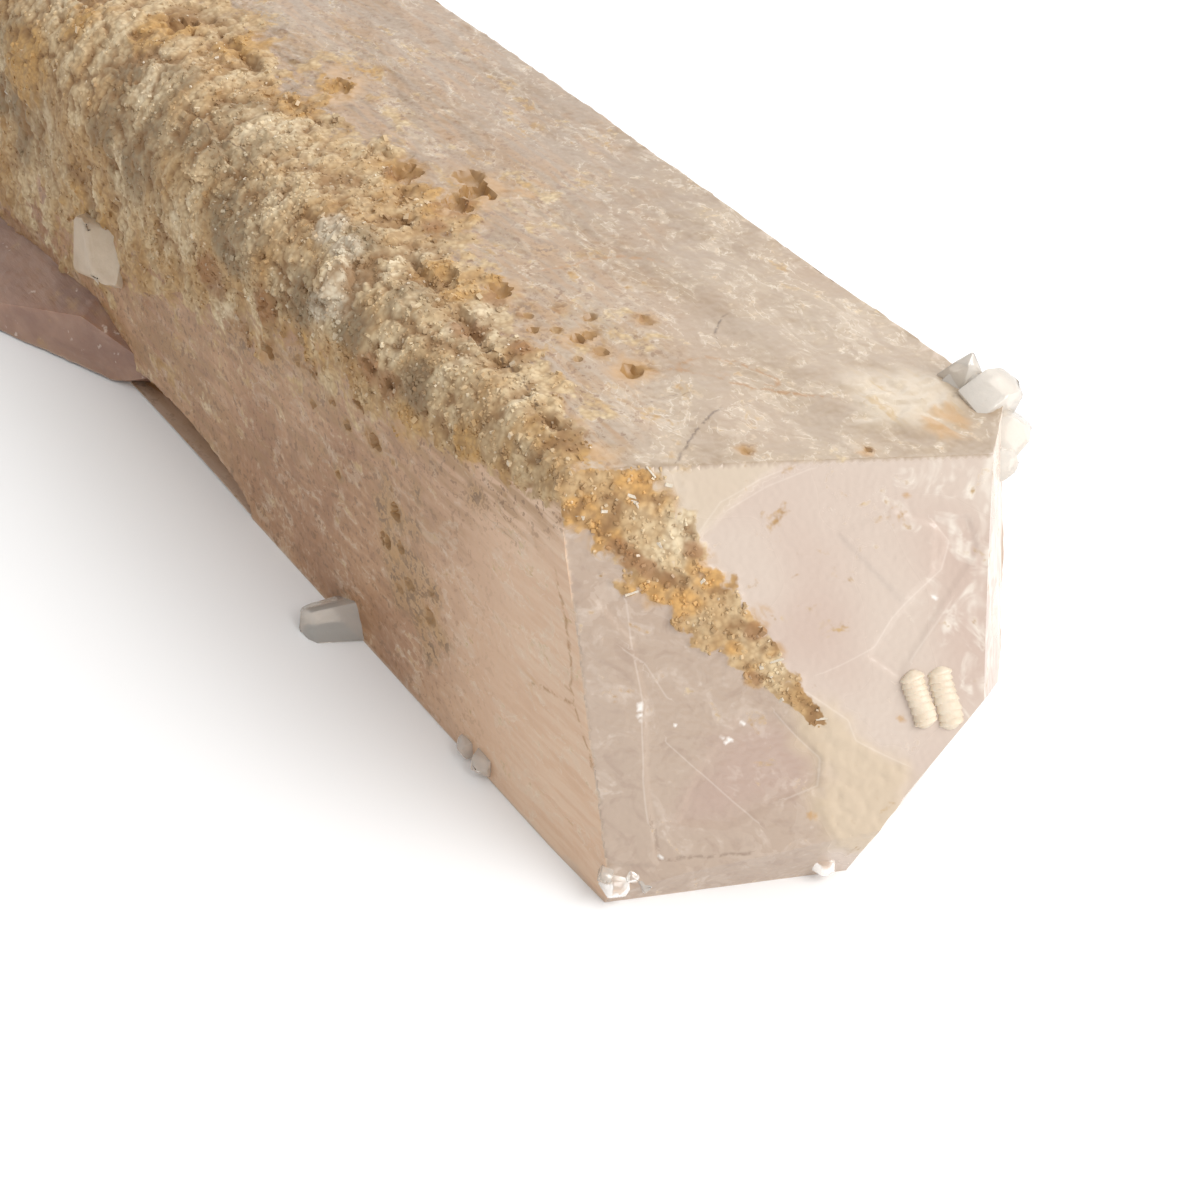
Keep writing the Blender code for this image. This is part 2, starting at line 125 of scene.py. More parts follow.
LEFT_PITS = (
    (-0.61, 0.49, 0.5, 0.4), (-0.645, 0.605, 0.46, 0.5), (-0.575, 0.58, 0.32, 0.3),
    (-0.71, 0.34, 0.4, 0.4), (-1.26, 0.37, 0.6, 0.5), (-0.78, 0.27, 0.4, 0.4), (-0.43, 0.7, 0.4, 0.3),
    (-1.02, 0.41, 0.3, 0.3), (-0.53, 0.66, 0.35, 0.3), (-0.577, 0.701, 0.26, 0.25),
    (-0.478, 0.737, 0.26, 0.25), (-0.421, 0.615, 0.26, 0.25), (-0.92, 0.344, 0.26, 0.3),
    (-0.843, 0.368, 0.28, 0.3), (-1.013, 0.316, 0.3, 0.3), (-0.885, 0.543, 0.26, 0.25),
    (-1.093, 0.321, 0.32, 0.3), (-1.253, 0.238, 0.4, 0.3), (-0.722, 0.128, 0.28, 0.3),
    (-0.641, 0.138, 0.28, 0.3),
)
ROUNDING_X = (-1.60, -0.40)
ROUNDING_RADIUS = (5.6, 2.6)
CRUST_LUMPS = ((-1.72, 1.3, 1.2), (-0.98, 1.1, 1.0))

# The rough plate over the front edge of the top face: middle and half sizes in x and u
PLATE_X, PLATE_U = 0.26, 0.80
PLATE_LONG, PLATE_WIDE = 0.13, 0.10

# The eaten lower left edge: its middle, and its reach and deepest place in mm
EDGE_HOLLOW_PLACE = (-1.83, 0.0, 1.0)
EDGE_HOLLOW_REACH = (10.5, 1.9, 2.6)
EDGE_HOLLOW_MOST = 2.6

# Low ledges on the right face: their height in mm, and from x, to x, from h and to h
RIGHT_LEDGE_HEIGHT = 0.28
RIGHT_LEDGES = ((-3.3, -0.9, 0.18, 0.40), (-2.6, 0.12, 0.58, 0.72), (-1.5, 0.25, 0.84, 0.93))

# Stains, each as two section coordinates and a radius: on the top and left as x and u or
# h, on the end as u and h
OCHRE_ON_TOP = (
    (-1.82, 0.55, 0.07), (-1.75, 0.48, 0.06), (-1.72, 0.34, 0.06), (-2.14, 0.39, 0.07),
    (-1.28, 0.39, 0.06), (-1.08, 0.51, 0.08), (-1.06, 0.42, 0.08), (-1.01, 0.62, 0.04),
    (-0.82, 0.22, 0.05), (-0.71, 0.23, 0.05), (-0.65, 0.31, 0.05), (-0.37, 0.34, 0.04),
    (-0.2, 0.38, 0.05), (0.2, 0.4, 0.02), (0.34, 0.62, 0.02), (0.36, 0.83, 0.05), (-2.36, 0.23, 0.09),
    (-2.64, 0.05, 0.1), (-0.1, 0.1, 0.06), (0.03, 0.12, 0.05),
)
OCHRE_ON_LEFT = (
    (-2.47, 0.53, 0.08), (-2.3, 0.44, 0.06), (-0.72, 0.34, 0.035), (-1.29, 0.38, 0.05),
    (-0.6, 0.5, 0.05), (-0.62, 0.6, 0.05), (-0.43, 0.7, 0.06), (-1.0, 0.24, 0.05), (0.01, 0.59, 0.015),
    (-0.55, 0.2, 0.06), (-2.8, 0.2, 0.14), (-0.3, 0.12, 0.05),
)
OCHRE_ON_END = (
    (0.175, 0.04, 0.04), (0.215, 0.075, 0.03), (0.241, 0.13, 0.022), (0.262, 0.192, 0.03),
    (0.283, 0.233, 0.034), (0.362, 0.324, 0.026), (0.382, 0.405, 0.022), (0.342, 0.454, 0.024),
    (0.306, 0.391, 0.016), (0.666, 0.079, 0.006), (0.413, 0.776, 0.008), (0.058, 0.099, 0.04),
    (0.168, 0.26, 0.034), (0.224, 0.289, 0.03), (0.097, 0.15, 0.03), (0.605, 0.56, 0.006),
)
SOIL_ON_TOP = (
    (-1.04, 0.42, 0.05), (-0.99, 0.33, 0.03), (-0.55, 0.31, 0.03), (-0.5, 0.37, 0.03),
    (-0.46, 0.28, 0.03), (-0.37, 0.37, 0.03), (-0.3, 0.36, 0.03), (-0.2, 0.39, 0.035),
    (-0.41, 0.22, 0.03), (-0.35, 0.52, 0.03), (-0.74, 0.5, 0.03), (-0.62, 0.28, 0.03),
    (-0.55, 0.16, 0.04), (0.2, 0.41, 0.018), (0.34, 0.62, 0.015), (-1.27, 0.41, 0.05),
)
SOIL_ON_LEFT = (
    (-0.66, 0.51, 0.05), (-0.58, 0.5, 0.04), (-0.52, 0.48, 0.035), (-0.615, 0.61, 0.06),
    (-0.555, 0.6, 0.05), (-0.485, 0.585, 0.04), (-0.575, 0.7, 0.06), (-0.42, 0.615, 0.04),
    (-0.48, 0.735, 0.05), (-0.38, 0.725, 0.04), (-0.5, 0.66, 0.05), (-0.72, 0.34, 0.035),
    (-0.885, 0.54, 0.02), (-0.92, 0.345, 0.025), (-0.845, 0.37, 0.022), (-1.09, 0.32, 0.04),
    (-1.25, 0.24, 0.05), (-1.22, 0.38, 0.045), (-1.01, 0.315, 0.03), (-0.26, 0.24, 0.035),
    (-0.72, 0.13, 0.04), (-0.64, 0.14, 0.04), (-0.97, 0.525, 0.018), (-0.65, 0.435, 0.03),
    (-0.5, 0.37, 0.02), (-1.42, 0.42, 0.06), (-1.55, 0.3, 0.06), (-0.43, 0.8, 0.04),
)
SOIL_ON_END = (
    (0.118, 0.165, 0.02), (0.14, 0.19, 0.022), (0.17, 0.215, 0.02), (0.2, 0.235, 0.016),
    (0.255, 0.175, 0.018), (0.352, 0.355, 0.02), (0.335, 0.46, 0.016),
)
GREY_ON_TOP = (
    (-1.67, 0.06, 0.16), (-2.24, 0.0, 0.2), (-0.72, 0.12, 0.08), (-1.01, 0.1, 0.09),
    (-0.53, 0.17, 0.07), (-1.79, 0.22, 0.09),
)
GREY_ON_LEFT = (
    (-1.47, 0.08, 0.14), (-1.09, 0.14, 0.1), (-0.52, 0.08, 0.07), (-2.08, 0.12, 0.2),
    (-2.89, 0.32, 0.2), (-0.88, 0.06, 0.1),
)
BROWN_ON_LEFT = ((-0.24, 0.04, 0.05), (-0.55, 0.10, 0.06), (-2.6, 0.38, 0.16))
BRIGHT_ON_TOP = ((-0.94, 0.03, 0.06), (-1.03, 0.08, 0.05), (-1.14, 0.10, 0.05))
BRIGHT_ON_LEFT = ((-0.93, 0.03, 0.06), (-0.98, 0.10, 0.04))

# Panels on the end: how far each stands out in mm, then its corners as u and h
END_PANELS = (
    (0.16, ((-0.02, -0.04), (0.484, -0.02), (0.4, 0.036), (0.267, 0.154), (0.14, 0.07))),
    (-0.1, ((0.368, 0.537), (0.444, 0.644), (0.429, 0.708), (0.365, 0.737), (0.246, 0.8),
     (0.159, 0.787), (0.207, 0.671), (0.298, 0.547))),
    (-0.09, ((0.708, 0.133), (0.733, 0.182), (0.714, 0.239), (0.615, 0.345), (0.556, 0.421),
     (0.61, 0.47), (0.7, 0.33), (0.79, 0.2), (0.78, 0.13))),
    (0.08, ((0.532, 0.156), (0.637, 0.305), (0.7, 0.25), (0.715, 0.15), (0.64, 0.11))),
    (0.1, ((-0.02, 0.28), (0.063, 0.28), (0.118, 0.368), (0.128, 0.503), (0.108, 0.685), (0.106, 0.89),
     (-0.02, 0.89))),
    (0.05, ((0.42, 0.486), (0.508, 0.556), (0.518, 0.602), (0.603, 0.662), (0.56, 0.9), (0.47, 0.88),
     (0.43, 0.76), (0.448, 0.64), (0.38, 0.53))),
)
DEEP_PINK_PANEL = 1
CREAM_PANEL = 5

# Lines on the end, as u and h
PALE_END_LINES = (
    ((0.708, 0.133), (0.733, 0.182), (0.714, 0.239), (0.615, 0.345), (0.575, 0.402), (0.464, 0.453)),
    ((0.724, 0.308), (0.642, 0.436)),
    ((0.484, 0.004), (0.4, 0.036), (0.32, 0.078), (0.267, 0.154)),
    ((0.5, 0.018), (0.41, 0.052), (0.335, 0.095)),
    ((0.164, 0.597), (0.308, 0.79)),
    ((0.43, 0.49), (0.508, 0.556), (0.518, 0.602), (0.603, 0.662)),
    ((0.116, 0.281), (0.118, 0.368), (0.128, 0.503), (0.108, 0.685), (0.106, 0.786)),
    ((0.103, 0.388), (0.14, 0.42), (0.176, 0.493)),
    ((0.368, 0.537), (0.444, 0.644), (0.429, 0.708), (0.365, 0.737)),
)
# Painted glints: near-white spots on the end, as u, h and radius
END_PAINTED_GLINTS = (
    (0.117, 0.51, 0.004), (0.115, 0.522, 0.005), (0.114, 0.536, 0.004), (0.113, 0.55, 0.003),
    (0.176, 0.56, 0.003), (0.305, 0.561, 0.005), (0.275, 0.599, 0.004), (0.262, 0.592, 0.004),
    (0.268, 0.604, 0.003), (0.113, 0.87, 0.004), (0.699, 0.299, 0.004),
)
DARK_END_LINES = (
    ((0.106, 0.786), (0.108, 0.83), (0.113, 0.873)),
    ((0.122, 0.874), (0.2, 0.868), (0.281, 0.86)),
)
OCHRE_LEFT_LINES = (
    ((0.063, 0.254), (0.1, 0.34), (0.137, 0.422), (0.15, 0.5), (0.188, 0.558), (0.253, 0.66)),
    ((0.013, 0.592), (0.06, 0.57), (0.16, 0.54)),
)
OCHRE_TOP_LINES = (
    ((-0.164, 0.409), (-0.149, 0.473), (-0.157, 0.535), (-0.086, 0.596), (0.019, 0.63)),
    ((-0.668, 0.429), (-0.65, 0.496), (-0.653, 0.573), (-0.616, 0.628), (-0.535, 0.699)),
    ((-0.2, 0.38), (-0.14, 0.466), (0.0, 0.56), (0.143, 0.674)),
    ((-1.06, 0.56), (-1.01, 0.62), (-0.93, 0.64)),
)
DARK_TOP_LINES = (
    ((-0.075, 0.33), (-0.075, 0.379), (-0.066, 0.413)),
    ((-0.201, 0.616), (-0.238, 0.651), (-0.256, 0.685)),
    ((0.135, 0.262), (0.098, 0.318), (0.064, 0.374), (0.037, 0.449)),
    ((-0.66, 0.165), (-0.52, 0.15), (-0.44, 0.165), (-0.33, 0.15), (-0.2, 0.12)),
    ((-1.92, 0.1), (-1.8, 0.08), (-1.66, 0.11), (-1.5, 0.09)),
)

# The companion crystal: the box it is cut from and its faces, in mm
COMPANION_LOW = (-87.0, -8.6, 0.10)
COMPANION_HIGH = (-47.5, 5.0, 8.0)
COMPANION_FACES = (
    ((-57.3, -2.0, 4.7), (-0.11, -0.3, 1.0)),
    ((-57.3, -2.0, 4.7), (0.27, -0.12, 1.0)),
    ((-60.0, -5.5, 0.0), (0.353, -0.936, 0.16)),
    ((-70.0, -8.4, 1.2), (0.0, -1.0, 0.9)),
    ((-52.8, -1.9, 0.0), (0.81, -0.59, -1.1)),
    ((-80.5, 0.0, 0.0), (-1.0, -0.2, 0.25)),
)

# Its grid and most triangles, the height of its growth steps and how far its skin is sunk, in mm
COMPANION_GRID = 7
COMPANION_TRIANGLES = 40000
COMPANION_STEP = 0.06
COMPANION_SINK = 0.1

# The seed of the small crystals' slightly uneven skin
SKIN_SEED = 5

# The small crystals: place, axis, side, then width, depth, length, tip and buried depth in
# mm, taper and skew
CLEAR_CRYSTALS = (
    ((0.225, 0.965, 0.0), (0.05, 0.18, 1.0), (1.0, 0.0, 0.0), 3.3, 1.5, 3.3, 2.4, 1.2, 0.1, 0.3),
    ((0.33, 0.985, 0.02), (0.12, 1.0, 0.5), (0.3, 0.0, 1.0), 2.9, 2.2, 3.4, 1.5, 1.3, 0.12, 0.0),
    ((0.385, 0.99, 0.075), (0.54, 1.0, 0.17), (-0.4, 0.0, 1.0), 2.5, 1.9, 3.0, 1.3, 1.3, 0.12, 0.0),
    ((0.3, 0.995, 0.11), (-0.12, 1.0, -0.11), (0.5, 0.0, 1.0), 2.7, 2.0, 3.1, 1.3, 1.3, 0.12, 0.0),
    ((0.405, 0.975, 0.13), (0.42, 1.0, -0.33), (0.0, 0.2, 1.0), 2.1, 1.6, 2.5, 1.0, 1.3, 0.12, 0.0),
    ((0.27, 0.96, 0.005), (0.3, 0.7, 1.0), (1.0, 0.0, -0.3), 2.1, 1.3, 2.4, 1.0, 1.2, 0.25, 0.1),
    ((0.345, 0.955, 0.025), (0.7, 0.75, 0.7), (0.4, 0.3, -1.0), 1.9, 1.4, 2.5, 0.9, 1.2, 0.2, -0.1),
    ((0.375, 0.94, 0.06), (1.0, 0.6, 0.2), (0.0, 0.3, 1.0), 1.6, 1.2, 1.9, 0.8, 1.1, 0.25, 0.0),
    ((0.4, 0.935, 0.17), (0.9, 0.7, -0.1), (0.0, 0.3, 1.0), 1.5, 1.1, 1.7, 0.8, 1.0, 0.25, 0.0),
    ((0.06, 1.0, 0.14), (0.2, 1.0, 0.3), (1.0, 0.0, 0.4), 2.4, 1.8, 2.3, 0.9, 1.2, 0.12, 0.0),
    ((0.2, 1.0, 0.33), (0.5, 1.0, 0.0), (0.3, 0.0, 1.0), 2.0, 1.6, 2.0, 0.8, 1.1, 0.12, 0.0),
)

# The glassier ones along the lower edges, in the same way
GLASSY_CRYSTALS = (
    ((-0.84, 0.0, 0.975), (-0.45, -1.0, -0.1), (1.0, -0.45, 0.5), 2.9, 2.9, 5.0, 1.3, 1.7, 0.22, 0.0),
    ((-0.165, 0.01, 0.96), (0.5, -1.0, 0.0), (0.0, 0.0, 1.0), 1.5, 1.4, 2.3, 0.6, 1.1, 0.15, 0.0),
    ((-0.235, 0.01, 0.965), (-0.3, -1.0, 0.0), (0.0, 0.0, 1.0), 1.3, 1.2, 2.0, 0.5, 1.0, 0.15, 0.0),
    ((0.35, 0.03, 0.945), (1.0, -0.2, 0.0), (0.0, 0.3, 1.0), 1.4, 1.2, 2.2, 0.5, 1.0, 0.15, 0.0),
    ((0.345, 0.01, 0.915), (0.7, -0.6, 0.2), (0.0, 0.5, 1.0), 0.9, 0.8, 1.7, 0.4, 0.9, 0.2, 0.0),
    ((0.375, 0.06, 0.925), (1.0, -0.1, 0.3), (0.3, 0.5, 1.0), 0.8, 0.7, 1.5, 0.4, 0.9, 0.2, 0.0),
    ((0.372, 0.095, 0.95), (1.0, 0.12, -0.05), (0.0, -0.3, 1.0), 1.5, 1.3, 2.0, 0.5, 1.0, 0.15, 0.0),
    ((0.57, 0.47, 0.955), (1.0, 0.1, 0.0), (0.0, 1.0, 0.0), 1.3, 1.0, 1.7, 0.5, 0.8, 0.2, 0.0),
)

# Two ribbed blades on the end: place, axis, side, then width, depth and length in mm
RIBBED_BLADES = (
    ((0.575, 0.636, 0.452), (0.5, 0.03, -1.0), (0.3, 1.0, 0.2), 1.4, 0.9, 3.5),
    ((0.597, 0.697, 0.446), (0.5, -0.05, -1.0), (0.3, 1.0, 0.2), 1.55, 0.95, 3.9),
)
RIBS = 9

# The squarish crystal near the root, in the way of the clear ones
MILKY_CRYSTALS = (
    ((-2.31, 0.0, 0.6), (0.25, -1.0, 0.35), (1.0, 0.2, 0.1), 5.6, 4.5, 2.7, 0.4, 1.3, 0.1, 0.0),
)

# The camera: where it stands, in face widths, and how it looks
CAMERA_PLACE = (3.23547718, -2.03084916, 3.85739511)
CAMERA_AZIMUTH = math.radians(-34.020222)
CAMERA_ELEVATION = math.radians(40.190635)
CAMERA_ROLL = -0.00419299
CAMERA_LENS = 66.8343
CAMERA_SENSOR = 36.0
CAMERA_NEAR = 1 * MM

# The lights, around the crystal's middle: direction, distance and width in metres, watts
LIGHTS = (
    ("key", (0.72, 0.30, 0.70), 0.60, 0.45, 2.9),
    ("back", (-0.70, 0.60, 0.55), 0.80, 0.60, 2.2),
)
SKY_STRENGTH = 0.70
FLOOR_HALF = 3.0

# The scattered grains: piece, width and density beside the panel's, and seed; and the seeds
# of each shape's shade, turn and size
GRAIN_PIECES = (("crust_grains", 1.0, 1.0, 0), ("crust_crumbs", 1.8, 0.12, 5))
SHADE_SEED = 11
TURN_SEED = 23
SIZE_SEED = 37


def tone(red, green, blue):
    """A linear colour from the 0 to 255 values that a colour picker shows."""
    def part(value):
        value /= 255
        return value / 12.92 if value <= 0.04045 else ((value + 0.055) / 1.055) ** 2.4

    return part(red), part(green), part(blue)


class DanburiteShape(bpy.types.PropertyGroup):
    """Sizes of the crystal's relief."""

    remesh_depth: IntProperty(
        name="Grid depth", description="Fineness of the grid that carries the relief", default=9,
        min=6, max=9)
    triangles: IntProperty(
        name="Triangles", description="Most triangles the crystal's body keeps", default=192000,
        min=10000, max=199000)
    crust_raise: FloatProperty(
        name="Crust", description="How far the crust stands up", default=0.20 * MM,
        unit="LENGTH")
    lump_height: FloatProperty(
        name="Lump height", description="Height of the crust's lumps", default=0.46 * MM,
        unit="LENGTH")
    lump_size: FloatProperty(
        name="Lump size", description="Width of the crust's lumps", default=4.6 * MM,
        unit="LENGTH")
    knob_height: FloatProperty(
        name="Knob height", description="Height of the knobs on the lumps", default=0.24 * MM,
        unit="LENGTH")
    knob_size: FloatProperty(
        name="Knob size", description="Width of the knobs on the lumps", default=1.5 * MM,
        unit="LENGTH")
    suture_depth: FloatProperty(
        name="Suture depth", description="Depth of the open suture", default=0.60 * MM,
        unit="LENGTH")


class DanburiteCrust(bpy.types.PropertyGroup):
    """The loose grains and splinters on the surface."""

    grain_size: FloatProperty(
        name="Grain size", description="Width of a crust grain", default=0.24 * MM,
        unit="LENGTH")
    grain_density: FloatProperty(
        name="Grain density", description="Grains on a square metre of crust", default=7.5e6)
    splinter_size: FloatProperty(
        name="Splinter size", description="Length of a white splinter", default=0.60 * MM,
        unit="LENGTH")
    splinter_density: FloatProperty(
        name="Splinter density", description="Splinters on a square metre of the band",
        default=0.30e6)
    seed: IntProperty(name="Seed", description="Seed of the scattered grains", default=4)


class DanburiteColours(bpy.types.PropertyGroup):
    """Colours of the crystal, its crust and the floor."""

    end: FloatVectorProperty(
        name="End", description="Pale pink of the end faces", subtype="COLOR",
        default=tone(201, 184, 170))
    top: FloatVectorProperty(
        name="Top", description="Beige pink of the top face", subtype="COLOR",
        default=tone(133, 105, 72))
    left: FloatVectorProperty(
        name="Left", description="Brownish pink of the left face", subtype="COLOR",
        default=tone(166, 122, 82))
    cream: FloatVectorProperty(
        name="Cream", description="Pale crust", subtype="COLOR", default=tone(207, 185, 148))
    tan: FloatVectorProperty(
        name="Tan", description="Darker crust", subtype="COLOR", default=tone(180, 144, 96))
    # Brown: the crust's dark spots, also laid on as painted shade in its hollows and between its grains
    brown: FloatVectorProperty(
        name="Brown", description="Crust in hollows", subtype="COLOR", default=tone(136, 100, 60))
    grey: FloatVectorProperty(
        name="Grey", description="Grey grit", subtype="COLOR", default=tone(136, 120, 95))
    ochre: FloatVectorProperty(
        name="Ochre", description="Iron stain", subtype="COLOR", default=tone(190, 150, 92))
    floor: FloatVectorProperty(
        name="Floor", description="Pale floor", subtype="COLOR", default=(0.92, 0.92, 0.92))


# Places on the crystal


def corner_shift():
    """The way from the crystal's section origin to its place in the frame.

    It is found at the front corner of the face that the crystal lies on.
    """
    low = [v.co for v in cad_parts[NODE].data.vertices if v.co.z < 1e-5]
    corner = max(low, key=lambda place: place.x)
    bevel, chisel = BOTTOM_BEVEL, BACK_OF_CHISEL
    u = (chisel[0] + chisel[2] - bevel[0] - bevel[2]) / (bevel[1] - chisel[1])
    x = bevel[0] + bevel[1] * u + bevel[2]
    shift = corner - Vector((x * FACE_WIDTH, (u + LEAN) * FACE_WIDTH, 0))
    return Vector((shift.x, shift.y, 0))


SHIFT = corner_shift()


def at(x, u, h):
    """The point with these section coordinates."""
    return Vector((x * FACE_WIDTH, (u + LEAN * h) * FACE_WIDTH, HEIGHT * (1 - h))) + SHIFT


def section(points):
    """The section coordinates x, u and h of an array of points."""
    h = 1 - points[:, 2] / HEIGHT
    x = (points[:, 0] - SHIFT.x) / FACE_WIDTH
    return x, (points[:, 1] - SHIFT.y) / FACE_WIDTH - LEAN * h, h


def right_normal():
    """The outward direction of the right face; the left face's is its opposite."""
    return Vector((0, 1, LEAN * FACE_WIDTH / HEIGHT)).normalized()


def end_plane(rest, per_u, per_h):
    """A point and the +X normal of the plane x = rest + per_u * u + per_h * h."""
    rise = (per_h - per_u * LEAN) * FACE_WIDTH / HEIGHT
    return at(rest, 0, 0), Vector((1, -per_u, rise)).normalized()


def smooth(value):
    """0 below 0, 1 above 1, and a soft step between."""
    value = np.clip(value, 0.0, 1.0)
    return value * value * (3 - 2 * value)


def waves(points, size, offset=0.0, stretch=(1.0, 1.0, 1.0)):
    """Smooth noise from -1 to 1 at each point, with features of this size."""
    scaled = points / (size * np.array(stretch)) + offset
    return np.array([noise.noise(p) for p in scaled.tolist()])


def stains(a, b, spots, ragged):
    """How strongly a list of round spots covers each place, with ragged rims."""
    cover = np.zeros(len(a))
    for spot_a, spot_b, radius in spots:
        far = ((a - spot_a) ** 2 + (b - spot_b) ** 2) / radius ** 2
        cover = np.maximum(cover, smooth(1.35 - 0.75 * far + ragged))
    return cover


def stained(places, faces, tables, ragged):
    """The stains of the top's, the left's and the end's table, each on its own face."""
    return np.maximum.reduce([
        stains(*place, spots, ragged) * face for place, face, spots in zip(places, faces, tables)])


# Meshes


def cut(bm, point, normal):
    """Cuts a closed mesh by a plane, drops what lies on the normal's side and fills it."""
    parts = bm.verts[:] + bm.edges[:] + bm.faces[:]
    result = bmesh.ops.bisect_plane(
        bm, geom=parts, dist=1e-7, plane_co=point, plane_no=normal, clear_outer=True)
    rim = [e for e in result["geom_cut"] if isinstance(e, bmesh.types.BMEdge) and e.is_boundary]
    if rim:
        bmesh.ops.contextual_create(bm, geom=rim)


def prism_mesh():
    """The bare crystal: a rhombic prism cut by its end faces, its facet and its breaks."""
    bm = bmesh.new()
    bmesh.ops.create_cube(bm, size=1)
    length = BACK_LENGTH + FRONT_LENGTH
    for vert in bm.verts:
        x = (vert.co.x + 0.5) * length - BACK_LENGTH
        vert.co = at(x, vert.co.y + 0.5, 0.5 - vert.co.z)
    for face in TERMINATION:
        cut(bm, *end_plane(*face))
    for face in ROOT_BREAKS:
        point, normal = end_plane(*face)
        cut(bm, point, -normal)
    first, last = (at(x, 0, h) for x, h in CLEAN_FACET_CORNERS)
    outward = -right_normal()
    forward = (last - first).normalized().cross(outward)
    if forward.x < 0:
        forward.negate()
    cut(bm, first, (outward + forward * CLEAN_FACET_SLOPE).normalized())
    return bm


def companion_mesh():
    """The bare companion crystal."""
    bm = bmesh.new()
    bmesh.ops.create_cube(bm, size=1)
    low, high = Vector(COMPANION_LOW) * MM, Vector(COMPANION_HIGH) * MM
    for vert in bm.verts:
        share = vert.co + Vector((0.5, 0.5, 0.5))
        vert.co = Vector(low[i] + share[i] * (high[i] - low[i]) for i in range(3)) + SHIFT
    for point, outward in COMPANION_FACES:
        cut(bm, Vector(point) * MM + SHIFT, Vector(outward).normalized())
    bmesh.ops.recalc_face_normals(bm, faces=bm.faces[:])
    return bm


def blade_mesh(width, depth, length, tip, taper, skew):
    """A small danburite blade along Z from a buried base: a box with a chisel tip."""
    bm = bmesh.new()
    bmesh.ops.create_cube(bm, size=1)
    for vert in bm.verts:
        up = vert.co.z + 0.5
        shrink = 1 - taper * up
        vert.co = Vector((vert.co.x * width * shrink, vert.co.y * depth * shrink, up * length))
    crest = Vector((skew * width, 0, length))
    for sign in (1, -1):
        cut(bm, crest, Vector((sign * tip, 0, width / 2)).normalized())
    shoulder = Vector((0, 0, length * 0.98))
    for sign in (1, -1):
        cut(bm, shoulder, Vector((0.2 * sign * depth, sign * tip * 0.8, depth)).normalized())
    bmesh.ops.recalc_face_normals(bm, faces=bm.faces[:])
    return bm


def ribbed_mesh(width, depth, length):
    """A low blade along Z from its base, rounded at both ends and ribbed across."""
    bm = bmesh.new()
    bmesh.ops.create_uvsphere(bm, u_segments=20, v_segments=54, radius=0.5)
    for vert in bm.verts:
        share = 0.5 - math.asin(max(-1.0, min(1.0, 2 * vert.co.z))) / math.pi
        full = min(1.0, 1.9 * math.sin(math.pi * share) ** 0.6)
        slant = 0.8 * abs(vert.co.x) + 0.25 * math.sin(9 * share)
        rib = 1 - 0.16 * ((RIBS * share + slant) % 1)
        around = math.hypot(vert.co.x, vert.co.y)
        if around > 1e-6:
            vert.co.x *= 0.5 * full * rib / around
            vert.co.y *= 0.5 * full * rib / around
        bend = 0.06 * math.sin(2 * math.pi * share)
        vert.co = Vector(((vert.co.x + bend) * width, vert.co.y * depth, (1 - share) * length))
    bmesh.ops.recalc_face_normals(bm, faces=bm.faces[:])
    return bm


def placed(origin, axis, side):
    """A placement with local Z along axis and local X as near to side as it can be."""
    z = axis.normalized()
    y = z.cross(side).normalized()
    matrix = Matrix((y.cross(z), y, z)).transposed().to_4x4()
    matrix.translation = origin
    return matrix


def blades(rows):
    """The small crystals of a table, with softened edges and a slightly uneven skin."""
    noise.seed_set(SKIN_SEED)
    for place, axis, side, width, depth, length, tip, buried, taper, skew in rows:
        blade = blade_mesh(width * MM, depth * MM, length * MM, tip * MM, taper, skew)
        bmesh.ops.bevel(
            blade, geom=blade.edges[:], offset=0.10 * min(width, depth) * MM, segments=2,
            affect="EDGES", profile=0.5)
        for vert in blade.verts:
            where = (vert.co + Vector(place)) / (0.8 * MM)
            vert.co += noise.noise_vector(where) * 0.05 * width * MM
        way = Vector(axis).normalized()
        blade.transform(placed(at(*place) - way * buried * MM, way, Vector(side)))
        yield blade


def ribbed_blades():
    """The two ribbed blades on the end."""
    for place, axis, side, *sizes in RIBBED_BLADES:
        blade = ribbed_mesh(*(size * MM for size in sizes))
        blade.transform(placed(at(*place), Vector(axis), Vector(side)))
        yield blade


def joined(name, parts):
    """One mesh of several closed parts."""
    whole = bmesh.new()
    for part in parts:
        mesh = bpy.data.meshes.new("part")
        part.to_mesh(mesh)
        part.free()
        whole.from_mesh(mesh)
        bpy.data.meshes.remove(mesh)
    bmesh.ops.recalc_face_normals(whole, faces=whole.faces[:])
    mesh = bpy.data.meshes.new(name)
    whole.to_mesh(mesh)
    whole.free()
    settle(mesh, arrays(mesh)[0])
    return mesh


def new_piece(name, mesh):
    """Puts a mesh into an object of its own at the origin."""
    piece = bpy.data.objects.new(name, mesh)
    bpy.context.scene.collection.objects.link(piece)
    return piece


def plain(piece):
    """The mesh that a piece's modifiers make."""
    depsgraph = bpy.context.evaluated_depsgraph_get()
    return bpy.data.meshes.new_from_object(piece.evaluated_get(depsgraph))


def fine_mesh(bm, name, depth):
    """A fine, even mesh of a faceted solid that keeps its sharp edges."""
    mesh = bpy.data.meshes.new(name)
    bm.to_mesh(mesh)
    bm.free()
    piece = new_piece(name, mesh)
    remesh = piece.modifiers.new("grid", "REMESH")
    remesh.mode = "SHARP"
    remesh.octree_depth = depth
    remesh.scale = 0.99
    remesh.use_remove_disconnected = False
    fine = plain(piece)
    bpy.data.objects.remove(piece)
    bm = bmesh.new()
    bm.from_mesh(fine)
    bmesh.ops.remove_doubles(bm, verts=bm.verts[:], dist=0.03 * MM)
    bmesh.ops.recalc_face_normals(bm, faces=bm.faces[:])
    bm.to_mesh(fine)
    bm.free()
    return fine


